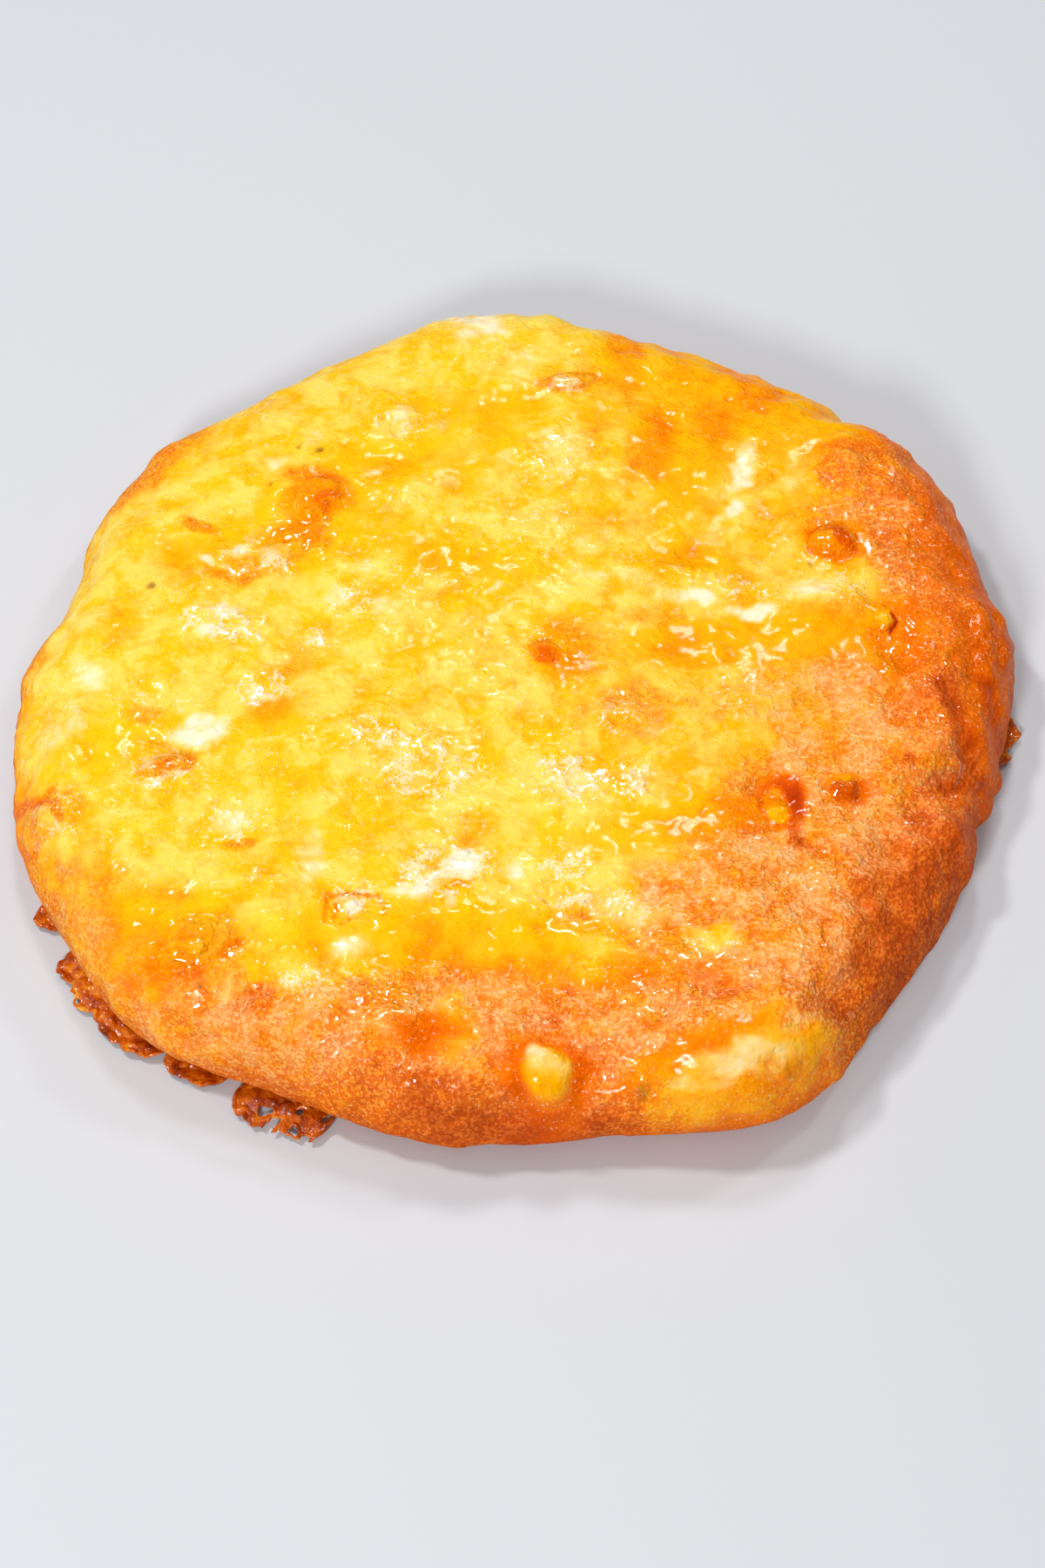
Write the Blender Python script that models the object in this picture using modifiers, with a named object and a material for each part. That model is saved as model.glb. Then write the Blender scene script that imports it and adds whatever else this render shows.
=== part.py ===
"""Cheese bun: a round, flat bun of soft cheese dough, fried golden and lying on its flat underside.

The bun is one solid. A turned blank is pushed out to the bun's uneven outline and given its
swells, folds and dimples. The blisters, the cheese nuggets and the lacy frills of fried cheese
round its foot are then joined to it. Sizes are in metres, +Z is up and -Y is the front. The
origin is in the plane of the underside, in the middle of the outline.
"""
from math import atan2, cos, degrees, hypot, pi, radians, sin

import bpy
from mathutils import Matrix, Vector, noise

MM = 0.001

# The bun before its swells
BUN_RADIUS = 56.2 * MM
BUN_HEIGHT = 14.5 * MM            # at the middle of the crown
CROWN_DROP = 1.2 * MM             # how much lower the crown's edge is
WIDEST_HEIGHT = 4.2 * MM          # the rim's height above the floor
SHOULDER_RUN = 9.5 * MM           # from the crown's edge out to the rim
FOOT_TUCK = 3.5 * MM              # from the rim back in to the underside's edge
SWELL_START = 0.35 * BUN_RADIUS   # inside this radius the crown takes no part in the rim's swells

# The blank's grid
TURN_STEPS = 112
CROWN_RINGS = 14
SHOULDER_RINGS = 10
FOOT_RINGS = 4
UNDERSIDE_RINGS = 2
WELD_DISTANCE = 0.0001

# Swells and flats of the rim: middle bearing and half width in degrees, reach in millimetres.
# Bearings turn from +X towards +Y, so the front is at 270.
RIM_SWELLS = {
    "right corner": (7, 9, 1.6),
    "back right shoulder": (31, 19, 1.9),
    "shoulder tip": (37.5, 5, 1.0),
    "nick behind the tip": (44, 4, -0.9),
    "back right flat": (69, 23, -0.9),
    "back peak": (92, 16, 1.1),
    "back left shoulder": (103, 10, 0.7),
    "back left flat": (124, 26, -2.0),
    "back left brim": (142, 14, 0.9),
    "back left step": (141, 4, 0.6),
    "left flat": (166, 14, -2.1),
    "front left belly": (212, 55, 2.7),
    "front left knuckle": (226, 14, 0.7),
    "front left flat": (243, 22, -1.2),
    "front drip": (262, 6, 0.4),
    "front": (277, 24, -0.7),
    "front right lobe": (298, 20, 3.2),
    "front right nub": (335, 3, 0.6),
    "right flat": (338, 24, -2.0),
    "right dent": (341, 4, -0.8),
    "right nick": (353, 4, -0.6),
}

# Soft rises and hollows of the crown: place, length, width, turn in degrees, rise.
# Places and sizes are in millimetres.
CROWN_LUMPS = {
    "front right roll": (24, -49, 19, 8, 31, 1.5),
    "front left puff": (-36, -36, 17, 13, 40, 0.8),
    "right crust swell": (43, 13, 20, 13, 75, 0.9),
    "back right puff": (40, 29, 14, 10, 60, 1.1),
    "back left brim": (-44, 27, 26, 8, 52, -1.0),
    "left brim": (-53, 4, 24, 7, 88, -0.7),
    "right hollow": (41, -22, 12, 8, 70, -0.9),
    "lower right hollow": (39, -31, 9, 6, 60, -0.6),
    "crater": (28, -19.3, 6, 5, 90, -0.8),
    "cheese pit": (-17, -33, 9, 7, 0, -0.7),
    "nugget ring": (3, -51.5, 10, 8, 0, -0.8),
    "middle hollow": (14, 4, 16, 9, 10, -0.5),
    "front hollow": (-6, -42, 30, 7, 0, -0.5),
}

LUMP_FADE = 2.0                   # a lump has faded out at this many times its half size

# Creases of the crust: from, to, width and depth, in millimetres.
CREASES = {
    "right fold": ((44, -17.5), (57, -9), 4.5, 1.3),
    "right wrinkle": ((48, -4), (51, -15), 3.0, 0.5),
    "outer right wrinkle": ((52, -2), (55, -10), 3.0, 0.5),
    "front right crease": ((32, -43), (40, -48), 4.0, 1.0),
    "long crease": ((10, 12.3), (40, 6.0), 3.5, -0.6),
    "step": ((40, 8), (43, 0), 3.0, 0.7),
}

# Slow unevenness of the whole crust: length of a wave and height of its crests.
WAVES = (
    (21.0 * MM, 0.9 * MM),
    (8.0 * MM, 0.45 * MM),
)

# Blisters, domes and cheese nuggets: place, length, width, turn in degrees, how far they stand out.
BLISTERS = {
    "amber blister": (-23.3, 22.4, 7.0, 6.0, 30, 1.3),
    "amber wrinkle": (-26.5, 15.5, 9.0, 4.5, 50, 0.9),
    "pale blister": (-34.5, 14.1, 8.0, 4.5, 10, 0.8),
    "amber sliver": (-37.0, 19.4, 4.5, 1.6, -35, 0.5),
    "caramel dome": (35.9, 16.0, 6.0, 5.0, -20, 1.7),
    "dark dome": (35.2, -18.0, 3.6, 3.2, 0, 1.1),
    "middle dome": (2.8, 0.3, 3.4, 3.0, 0, 0.9),
    "crater crumb": (27.8, -20.3, 2.4, 2.2, 0, 0.7),
    "left amber spot": (-38.5, -14.6, 6.0, 3.2, 20, 0.7),
    "back ridge": (6.1, 41.3, 6.0, 2.2, 5, 0.8),
    "curd cube": (-17.5, -33.3, 3.4, 2.8, 0, 0.5),
    "front nugget": (2.9, -52.1, 5.8, 5.2, 0, 1.4),
    "back right blister": (38.0, 27.0, 5.5, 4.5, 50, 1.0),
    "left blister": (-51.0, -20.0, 6.5, 5.0, 20, 0.9),
    "front left blister": (-33.8, -37.8, 8.5, 5.5, 35, 0.9),
    "yellow chip": (41.6, 4.7, 3.0, 2.2, 30, 0.8),
    "right knuckle": (38.5, -32.0, 3.4, 2.8, 0, 0.7),
}

LARGE_BLISTER = 6.5               # length in millimetres from which a blister gets finer faces
BLISTER_HALF_HEIGHT = 0.35        # of a whole blister, as a share of its width
BLISTER_UNEVENNESS = 0.14
BLISTER_GRAIN = 1.7               # dents to a blister's half width

# Frills round the foot: first and last bearing, reach past the rim and thickness in millimetres.
FRILLS = {
    "left crumb": (205.5, 208.5, 0.5, 1.2),
    "long frill": (212.5, 228.5, 1.1, 1.5),
    "short frill": (229.5, 236.0, 0.7, 1.3),
    "large frill": (238.5, 249.0, 3.0, 1.8),
    "right frill": (354.0, 361.0, 0.9, 1.2),
}
FRILL_ROOT = 6.0 * MM             # how far each frill reaches in under the bun
FRILL_CLEARANCE = 0.25 * MM       # its height above the floor
FRILL_TORN = 0.9 * MM             # depth of its torn outer edge
FRILL_CRINKLE = 1.6 * MM          # length of a crinkle
FRILL_UNEVENNESS = 0.5            # of its thickness
FRILL_SUBDIVISIONS = 3

CRUST_COLOR = (0.78, 0.42, 0.10, 1.0)
CRUST_ROUGHNESS = 0.45


def clear_scene():
    """Remove the objects that a new file starts with."""
    for thing in list(bpy.data.objects):
        bpy.data.objects.remove(thing)


def make_material(name, color, roughness):
    """A plain material with one colour and roughness."""
    material = bpy.data.materials.new(name)
    material.use_nodes = True
    shader = material.node_tree.nodes["Principled BSDF"]
    shader.inputs["Base Color"].default_value = color
    shader.inputs["Roughness"].default_value = roughness
    shader.inputs["Metallic"].default_value = 0.0
    return material


def rim_radius(bearing):
    """The bun's radius at its widest height, with the swells of the rim. Bearing in degrees."""
    radius = BUN_RADIUS
    for middle, half_width, reach in RIM_SWELLS.values():
        away = abs((bearing - middle + 180.0) % 360.0 - 180.0)
        if away < half_width:
            radius += reach * MM * 0.5 * (1.0 + cos(pi * away / half_width))
    return radius


def crust_profile():
    """The blank's half section as (radius, height), from the crown's middle down to the foot."""
    crown_edge = BUN_RADIUS - SHOULDER_RUN
    shoulder_rise = BUN_HEIGHT - CROWN_DROP - WIDEST_HEIGHT
    points = []
    for ring in range(CROWN_RINGS):
        share = ring / CROWN_RINGS
        points.append((crown_edge * share, BUN_HEIGHT - CROWN_DROP * share ** 2))
    for ring in range(SHOULDER_RINGS):
        turn = 0.5 * pi * (1.0 - ring / SHOULDER_RINGS)
        points.append((crown_edge + SHOULDER_RUN * cos(turn), WIDEST_HEIGHT + shoulder_rise * sin(turn)))
    for ring in range(FOOT_RINGS):
        turn = 0.5 * pi * ring / FOOT_RINGS
        points.append((BUN_RADIUS - FOOT_TUCK * (1.0 - cos(turn)), WIDEST_HEIGHT * (1.0 - sin(turn))))
    for ring in range(UNDERSIDE_RINGS + 1):
        points.append(((BUN_RADIUS - FOOT_TUCK) * (1.0 - ring / UNDERSIDE_RINGS), 0.0))
    return points


def make_blank(name):
    """Turn the half section about Z into a plain round bun."""
    profile = crust_profile()
    mesh = bpy.data.meshes.new(name)
    edges = [(index, index + 1) for index in range(len(profile) - 1)]
    mesh.from_pydata([(radius, 0.0, height) for radius, height in profile], edges, [])
    blank = bpy.data.objects.new(name, mesh)
    bpy.context.scene.collection.objects.link(blank)
    screw = blank.modifiers.new("Turn", "SCREW")
    screw.axis = "Z"
    screw.angle = 2.0 * pi
    screw.steps = TURN_STEPS
    screw.render_steps = TURN_STEPS
    screw.use_merge_vertices = True
    screw.merge_threshold = WELD_DISTANCE
    apply_modifiers(blank)
    return blank


def apply_modifiers(thing):
    """Make a mesh of the object as its modifiers leave it."""
    graph = bpy.context.evaluated_depsgraph_get()
    mesh = bpy.data.meshes.new_from_object(thing.evaluated_get(graph))
    old_mesh = thing.data
    thing.modifiers.clear()
    thing.data = mesh
    bpy.data.meshes.remove(old_mesh)


def smooth_share(value, low, high):
    """0 below low, 1 above high, and an even ramp with soft ends between them."""
    share = min(1.0, max(0.0, (value - low) / (high - low)))
    return share * share * (3.0 - 2.0 * share)


def spread_to_outline(point):
    """Move a point of the round blank out or in, so that the rim follows the bun's outline."""
    radius = hypot(point.x, point.y)
    if radius < WELD_DISTANCE:
        return point.copy()
    growth = rim_radius(degrees(atan2(point.y, point.x))) - BUN_RADIUS
    new_radius = radius + growth * smooth_share(radius, SWELL_START, BUN_RADIUS - FOOT_TUCK)
    return Vector((point.x * new_radius / radius, point.y * new_radius / radius, point.z))


def lump_rise(x, y, lump):
    """How much one soft lump lifts the crown at a place."""
    middle_x, middle_y, length, width, turn, rise = lump
    along_x = cos(radians(turn))
    along_y = sin(radians(turn))
    away_x = x / MM - middle_x
    away_y = y / MM - middle_y
    along = (away_x * along_x + away_y * along_y) / (0.5 * length)
    across = (away_y * along_x - away_x * along_y) / (0.5 * width)
    distance = hypot(along, across)
    return rise * MM * (1.0 - min(1.0, distance / LUMP_FADE) ** 2) ** 3


def crease_depth(x, y, crease):
    """How deep one crease is at a place."""
    (start_x, start_y), (end_x, end_y), width, depth = crease
    along_x = end_x - start_x
    along_y = end_y - start_y
    share = ((x / MM - start_x) * along_x + (y / MM - start_y) * along_y) / (along_x ** 2 + along_y ** 2)
    share = min(1.0, max(0.0, share))
    distance = hypot(x / MM - start_x - share * along_x, y / MM - start_y - share * along_y)
    return depth * MM * (1.0 - min(1.0, distance / width) ** 2) ** 2


def crust_relief(point):
    """How far the crust stands out at a point of the smooth bun."""
    waves = sum(height * noise.noise(point / length) for length, height in WAVES)
    lumps = sum(lump_rise(point.x, point.y, lump) for lump in CROWN_LUMPS.values())
    creases = sum(crease_depth(point.x, point.y, crease) for crease in CREASES.values())
    side = smooth_share(point.z, 0.0, WIDEST_HEIGHT)
    top = smooth_share(point.z, 0.5 * WIDEST_HEIGHT, 2.0 * WIDEST_HEIGHT)
    return side * waves + top * (lumps - creases)


def shape_crust(bun):
    """Give the round blank its outline, then its relief along the crust's own normals."""
    for vertex in bun.data.vertices:
        vertex.co = spread_to_outline(vertex.co)
    bun.data.update()
    normals = [vertex.normal.copy() for vertex in bun.data.vertices]
    for vertex, normal in zip(bun.data.vertices, normals):
        vertex.co += normal * crust_relief(vertex.co)
    for vertex in bun.data.vertices:
        vertex.co.z = max(vertex.co.z, 0.0)
    bun.data.update()
    bpy.context.view_layer.update()


def crust_top(bun, x, y):
    """The point of the crust above a place, and the way the crust faces there."""
    found, place, normal, _ = bun.ray_cast(Vector((x, y, 2.0 * BUN_HEIGHT)), Vector((0.0, 0.0, -1.0)))
    if not found:
        raise ValueError("no crust at this place")
    return place, normal


def turned_to(x_axis, y_axis, z_axis):
    """The turn that brings the three axes to the given directions."""
    return Matrix((x_axis, y_axis, z_axis)).transposed().to_quaternion()


def make_blister(name, bun, shape, collection):
    """A rounded lump set into the crust, so that only its top stands out."""
    x, y, length, width, turn, rise = shape
    place, normal = crust_top(bun, x * MM, y * MM)
    bpy.ops.mesh.primitive_ico_sphere_add(subdivisions=3 if length > LARGE_BLISTER else 2, radius=1.0)
    blister = bpy.context.object
    blister.name = name
    half_height = BLISTER_HALF_HEIGHT * width * MM
    for vertex in blister.data.vertices:
        uneven = 1.0 + BLISTER_UNEVENNESS * noise.noise(vertex.co * BLISTER_GRAIN + Vector((x, y, 0.0)))
        vertex.co.x *= uneven * 0.5 * length * MM
        vertex.co.y *= uneven * 0.5 * width * MM
        vertex.co.z *= half_height
    lengthwise = Vector((cos(radians(turn)), sin(radians(turn)), 0.0))
    sideways = normal.cross(lengthwise).normalized()
    blister.rotation_mode = "QUATERNION"
    blister.rotation_quaternion = turned_to(sideways.cross(normal), sideways, normal)
    blister.location = place + normal * (rise * MM - half_height)
    move_to_collection(blister, collection)
    return blister


def make_frill(name, shape, collection):
    """A thin torn strip that follows the foot of the bun just above the floor."""
    first, last, reach, thickness = shape
    bpy.ops.mesh.primitive_ico_sphere_add(subdivisions=FRILL_SUBDIVISIONS, radius=1.0)
    frill = bpy.context.object
    frill.name = name
    middle = 0.5 * (first + last)
    for vertex in frill.data.vertices:
        sideways, outward, upward = vertex.co
        bearing = middle + 0.5 * (last - first) * sideways
        inner = rim_radius(bearing) - FRILL_ROOT
        outer = rim_radius(bearing) + reach * MM
        arc = Vector((radians(bearing) * BUN_RADIUS, 0.0, 0.0)) / FRILL_CRINKLE
        torn = FRILL_TORN * noise.noise(arc) * max(0.0, outward)
        crinkle = 1.0 + FRILL_UNEVENNESS * noise.noise(arc + Vector((0.0, 2.0 * outward, 0.0)))
        radius = inner + (outer - inner) * 0.5 * (1.0 + outward) + torn
        height = FRILL_CLEARANCE + 0.5 * (1.0 + upward) * thickness * MM * crinkle
        vertex.co = (radius * cos(radians(bearing)), radius * sin(radians(bearing)), height)
    move_to_collection(frill, collection)
    return frill


def move_to_collection(thing, collection):
    """Keep the object in one collection only."""
    for home in list(thing.users_collection):
        home.objects.unlink(thing)
    collection.objects.link(thing)


def join_to_bun(bun, collection):
    """Unite the bun with every solid of the collection, and remove those solids."""
    union = bun.modifiers.new("Join", "BOOLEAN")
    union.operation = "UNION"
    union.operand_type = "COLLECTION"
    union.collection = collection
    union.solver = "EXACT"
    apply_modifiers(bun)
    for thing in list(collection.objects):
        bpy.data.objects.remove(thing)
    bpy.data.collections.remove(collection)


def main():
    clear_scene()
    collection = bpy.data.collections.new("cheese_bun")
    additions = bpy.data.collections.new("additions")
    bpy.context.scene.collection.children.link(collection)
    bpy.context.scene.collection.children.link(additions)

    bun = make_blank("cheese_bun")
    move_to_collection(bun, collection)
    shape_crust(bun)
    for name, shape in BLISTERS.items():
        make_blister(name, bun, shape, additions)
    for name, shape in FRILLS.items():
        make_frill(name, shape, additions)
    join_to_bun(bun, additions)

    bun.data.materials.clear()
    bun.data.materials.append(make_material("crust", CRUST_COLOR, CRUST_ROUGHNESS))
    bun.data.shade_smooth()
    bun.data.set_sharp_from_angle(angle=radians(40.0))


main()
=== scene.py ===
from math import cos, pi, radians, sin

import bmesh
import bpy
import numpy as np
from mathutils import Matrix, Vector, noise


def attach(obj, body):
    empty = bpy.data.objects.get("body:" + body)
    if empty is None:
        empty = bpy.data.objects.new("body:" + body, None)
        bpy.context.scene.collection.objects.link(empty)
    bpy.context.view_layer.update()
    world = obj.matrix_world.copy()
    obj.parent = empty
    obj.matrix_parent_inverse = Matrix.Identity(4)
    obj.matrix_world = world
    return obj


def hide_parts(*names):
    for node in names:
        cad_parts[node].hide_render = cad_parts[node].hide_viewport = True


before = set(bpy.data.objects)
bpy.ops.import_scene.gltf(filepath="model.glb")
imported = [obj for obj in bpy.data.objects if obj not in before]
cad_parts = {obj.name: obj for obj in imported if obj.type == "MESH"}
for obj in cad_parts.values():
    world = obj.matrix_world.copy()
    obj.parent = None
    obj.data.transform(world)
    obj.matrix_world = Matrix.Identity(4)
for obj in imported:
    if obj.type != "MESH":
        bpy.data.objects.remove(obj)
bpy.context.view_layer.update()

mm = 0.001
percent = 0.01
scene = bpy.context.scene


# small helpers that every piece uses

def deselectAll():
    if bpy.context.mode != "OBJECT":
        bpy.ops.object.mode_set(mode="OBJECT")
    bpy.ops.object.select_all(action="DESELECT")


def applyModifiers(piece):
    deselectAll()
    bpy.context.view_layer.objects.active = piece
    piece.select_set(True)
    for modifier in list(piece.modifiers):
        bpy.ops.object.modifier_apply(modifier=modifier.name)
    piece.vertex_groups.clear()


def groupPoints(piece, name, chosen):
    piece.vertex_groups.new(name=name).add(np.nonzero(chosen)[0].tolist(), 1.0, "REPLACE")


def readPoints(mesh):
    points = np.empty(len(mesh.vertices) * 3, np.float32)
    mesh.vertices.foreach_get("co", points)
    return points.reshape(-1, 3).astype(float)


def readNormals(mesh):
    normals = np.empty(len(mesh.vertices) * 3, np.float32)
    mesh.vertex_normals.foreach_get("vector", normals)
    return normals.reshape(-1, 3).astype(float)


def writePoints(mesh, points):
    mesh.vertices.foreach_set("co", points.astype(np.float32).ravel())
    mesh.update()


def paint(mesh, name, values):
    layer = mesh.attributes.new(name, "FLOAT", "POINT")
    layer.data.foreach_set("value", np.clip(values, 0.0, 1.0).astype(np.float32))


def grain(points, size, shift=0.0):
    # soft noise at each point, about -1 to 1, in waves of this size
    offset = Vector((shift, -shift, 0.5 * shift))
    return np.array([noise.noise(Vector(p) / size + offset) for p in points])


def ridges(points, size, shift, sharpness=2.2):
    # sharp crests where the soft noise crosses zero, 0 to 1
    return (1.0 - np.clip(np.abs(grain(points, size, shift)) * sharpness, 0.0, 1.0)) ** 2


def softStep(value, low, high):
    share = np.clip((value - low) / (high - low), 0.0, 1.0)
    return share * share * (3.0 - 2.0 * share)


def picked(red, green, blue):
    # a colour picked on the 0 to 255 scale, as the shader's linear values
    shares = [c / 255.0 for c in (red, green, blue)]
    return (*[s / 12.92 if s < 0.04045 else ((s + 0.055) / 1.055) ** 2.4 for s in shares], 1.0)


# camera, lights and floor

cameraSetup = {
    "place": (0.42 * mm, -207.1 * mm, 284.5 * mm),
    "aim": (0.42 * mm, -7.94 * mm, 0.0),
    "lens": 70.0,
    "sensor": 36.0,
    "clipStart": 10 * mm,
}
camera = bpy.data.objects.new("camera", bpy.data.cameras.new("camera"))
scene.collection.objects.link(camera)
camera.location = cameraSetup["place"]
camera.rotation_euler = (Vector(cameraSetup["aim"]) - camera.location).to_track_quat("-Z", "Y").to_euler()
camera.data.lens = cameraSetup["lens"]
camera.data.sensor_width = cameraSetup["sensor"]
camera.data.clip_start = cameraSetup["clipStart"]
scene.camera = camera

# round lamps that face the bun: place and width in metres, watts, colour
lightSetup = {
    "key": ((-0.34, 0.16, 0.66), 0.10, 2.15, (1.0, 0.98, 0.95)),
    "back": ((0.00, 0.52, 0.74), 0.14, 1.65, (1.0, 0.98, 0.96)),
    "back right": ((0.40, 0.36, 0.52), 0.09, 0.8, (1.0, 0.98, 0.96)),
    "overhead": ((0.10, -0.12, 0.85), 0.80, 0.6, (1.0, 0.99, 0.97)),
    "front fill": ((-0.18, -0.58, 0.42), 0.14, 3.0, (1.0, 0.98, 0.96)),
}
for lightName, (place, width, watts, color) in lightSetup.items():
    light = bpy.data.lights.new(lightName, "AREA")
    light.shape = "DISK"
    light.size = width
    light.energy = watts
    light.color = color
    lamp = bpy.data.objects.new(lightName, light)
    scene.collection.objects.link(lamp)
    lamp.location = place
    lamp.visible_glossy = lightName != "overhead"   # it softens the shadows and leaves no sheen
    lamp.rotation_euler = (-Vector(place)).to_track_quat("-Z", "Y").to_euler()

studioSetup = {
    "airColor": (1.0, 0.99, 0.97, 1.0),
    "airStrength": 0.22,
    "floorSize": 4.0,
    "floorColor": picked(205, 209, 216),
    "floorRoughness": 0.6,
}
world = bpy.data.worlds.new("studio")
world.use_nodes = True
air = world.node_tree.nodes["Background"].inputs
air["Color"].default_value = studioSetup["airColor"]
air["Strength"].default_value = studioSetup["airStrength"]
world.cycles_visibility.glossy = False
scene.world = world
scene.view_settings.view_transform = "Standard"

deselectAll()
bpy.ops.mesh.primitive_plane_add(size=studioSetup["floorSize"], location=(0, 0, 0))
floor = bpy.context.object
floor.name = "floor"
floorMaterial = bpy.data.materials.new("pale floor")
floorMaterial.use_nodes = True
floorShader = floorMaterial.node_tree.nodes["Principled BSDF"].inputs
floorShader["Base Color"].default_value = studioSetup["floorColor"]
floorShader["Roughness"].default_value = studioSetup["floorRoughness"]
floor.data.materials.append(floorMaterial)
print("camera, lights and floor are in place")


# the bun's form

bun = {
    "radius": 56.2,          # of the rim before its swells
    "height": 14.5,          # at the middle of the crown
    "crownDrop": 1.2,
    "widestHeight": 4.2,
    "shoulderRun": 9.5,
    "footTuck": 3.5,
    "swellStart": 0.35,      # share of the radius inside which the rim's swells don't reach
    "subdivisions": 8,
    "profileSteps": 400,
    "shownShare": 0.57,      # share of the faces that the crown and the side get
    "undersideKept": 0.06,   # share of the underside's faces that are kept
    "crownFrom": (4.0, 9.0),   # heights over which the side turns into the crown
    "blisterHeight": 0.35,   # of a blister's cap, as a share of its width
}

# swells and flats of the rim: middle bearing and half width in degrees, reach in millimetres
rimSwells = {
    "right corner": (7, 9, 1.6),
    "back right shoulder": (31, 19, 1.9),
    "shoulder tip": (37.5, 5, 1),
    "nick behind tip": (44, 4, -0.9),
    "back right flat": (69, 23, -0.9),
    "back peak": (92, 16, 1.1),
    "back left shoulder": (103, 10, 0.7),
    "back left flat": (124, 26, -2),
    "back left brim": (142, 14, 0.9),
    "back left step": (141, 4, 0.6),
    "left flat": (166, 14, -2.1),
    "front left belly": (212, 55, 2.7),
    "front left knuckle": (226, 14, 0.7),
    "front left flat": (243, 22, -1.2),
    "front drip": (262, 6, 0.4),
    "front": (277, 24, -0.7),
    "front right lobe": (298, 20, 3.2),
    "front right nub": (335, 3, 0.6),
    "right flat": (338, 24, -2),
    "right dent": (341, 4, -0.8),
    "right nick": (353, 4, -0.6),
}

# soft rises and hollows: place, length, width, turn, rise in millimetres
crownLumps = {
    "front right roll": (24, -49, 19, 8, 31, 1.5),
    "front left puff": (-36, -36, 17, 13, 40, 0.8),
    "right crust swell": (43, 13, 20, 13, 75, 0.9),
    "back right puff": (40, 29, 14, 10, 60, 1.1),
    "back left brim": (-44, 27, 26, 8, 52, -1),
    "left brim": (-53, 4, 24, 7, 88, -0.7),
    "right hollow": (41, -22, 12, 8, 70, -0.9),
    "lower right hollow": (39, -31, 9, 6, 60, -0.6),
    "crater": (28, -19.3, 6, 5, 90, -0.8),
    "cheese pit": (-17, -33, 9, 7, 0, -0.7),
    "nugget ring": (3, -51.5, 10, 8, 0, -0.8),
    "middle hollow": (14, 4, 16, 9, 10, -0.5),
    "front hollow": (-6, -42, 30, 7, 0, -0.5),
}

# creases: from, to, width, depth in millimetres
creases = {
    "right fold": ((44, -17.5), (57, -9), 4.5, 1.3),
    "right wrinkle": ((48, -4), (51, -15), 3, 0.5),
    "outer right wrinkle": ((52, -2), (55, -10), 3, 0.5),
    "front right crease": ((32, -43), (40, -48), 4, 1),
    "long crease": ((10, 12.3), (40, 6), 3.5, -0.6),
    "step": ((40, 8), (43, 0), 3, 0.7),
}

# blisters, domes and nuggets: place, length, width, turn, how far they stand out
blisters = {
    "amber blister": (-23.3, 22.4, 7, 6, 30, 1.3),
    "amber wrinkle": (-26.5, 15.5, 9, 4.5, 50, 0.6),
    "pale blister": (-34.5, 14.1, 8, 4.5, 10, 0.5),
    "amber sliver": (-37, 19.4, 4.5, 1.6, -35, 0.5),
    "caramel dome": (35.9, 16, 5.2, 4.4, -20, 1.5),
    "dark dome": (35.2, -18, 2.9, 2.5, 0, 0.9),
    "middle dome": (2.8, 0.3, 3.2, 2.8, 0, 0.9),
    "crater crumb": (27.8, -20.3, 2.4, 2.2, 0, 0.7),
    "left amber spot": (-38.5, -14.6, 6, 3.2, 20, 0.7),
    "back ridge": (6.1, 41.3, 6, 2.2, 5, 0.8),
    "curd cube": (-17.5, -33.3, 3.4, 2.8, 0, 0.5),
    "front nugget": (2.9, -52.1, 5.8, 5.2, 0, 1.4),
    "back right blister": (38, 27, 5.5, 4.5, 50, 0.7),
    "left blister": (-51, -20, 6.5, 5, 20, 0.9),
    "front left blister": (-33.8, -37.8, 8.5, 5.5, 35, 0.7),
    "yellow chip": (41.4, 4.8, 3, 2, 30, 0.5),
    "right knuckle": (38.5, -32, 3.4, 2.8, 0, 0.7),
}

# calm places, where little of an unevenness is left: place, length, width, turn,
# where the calm starts to end and ends in shares of its size, and the share left inside
calmPlaces = {
    "raw cheese": (-6, 8, 100, 92, 0, 0.8, 1.1, 0),
    "nugget, outline": (2.9, -52.1, 14, 12, 0, 0.6, 1.2, 0.25),
    "nugget, skin": (2.9, -52.1, 7.5, 7, 0, 0.7, 1.2, 0.15),
    "roll": (22.5, -51.5, 20, 8, 28, 0.8, 1.3, 0.4),
    "below the crease": (28, 2, 26, 7, -4, 0.7, 1.2, 0.35),
}

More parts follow.
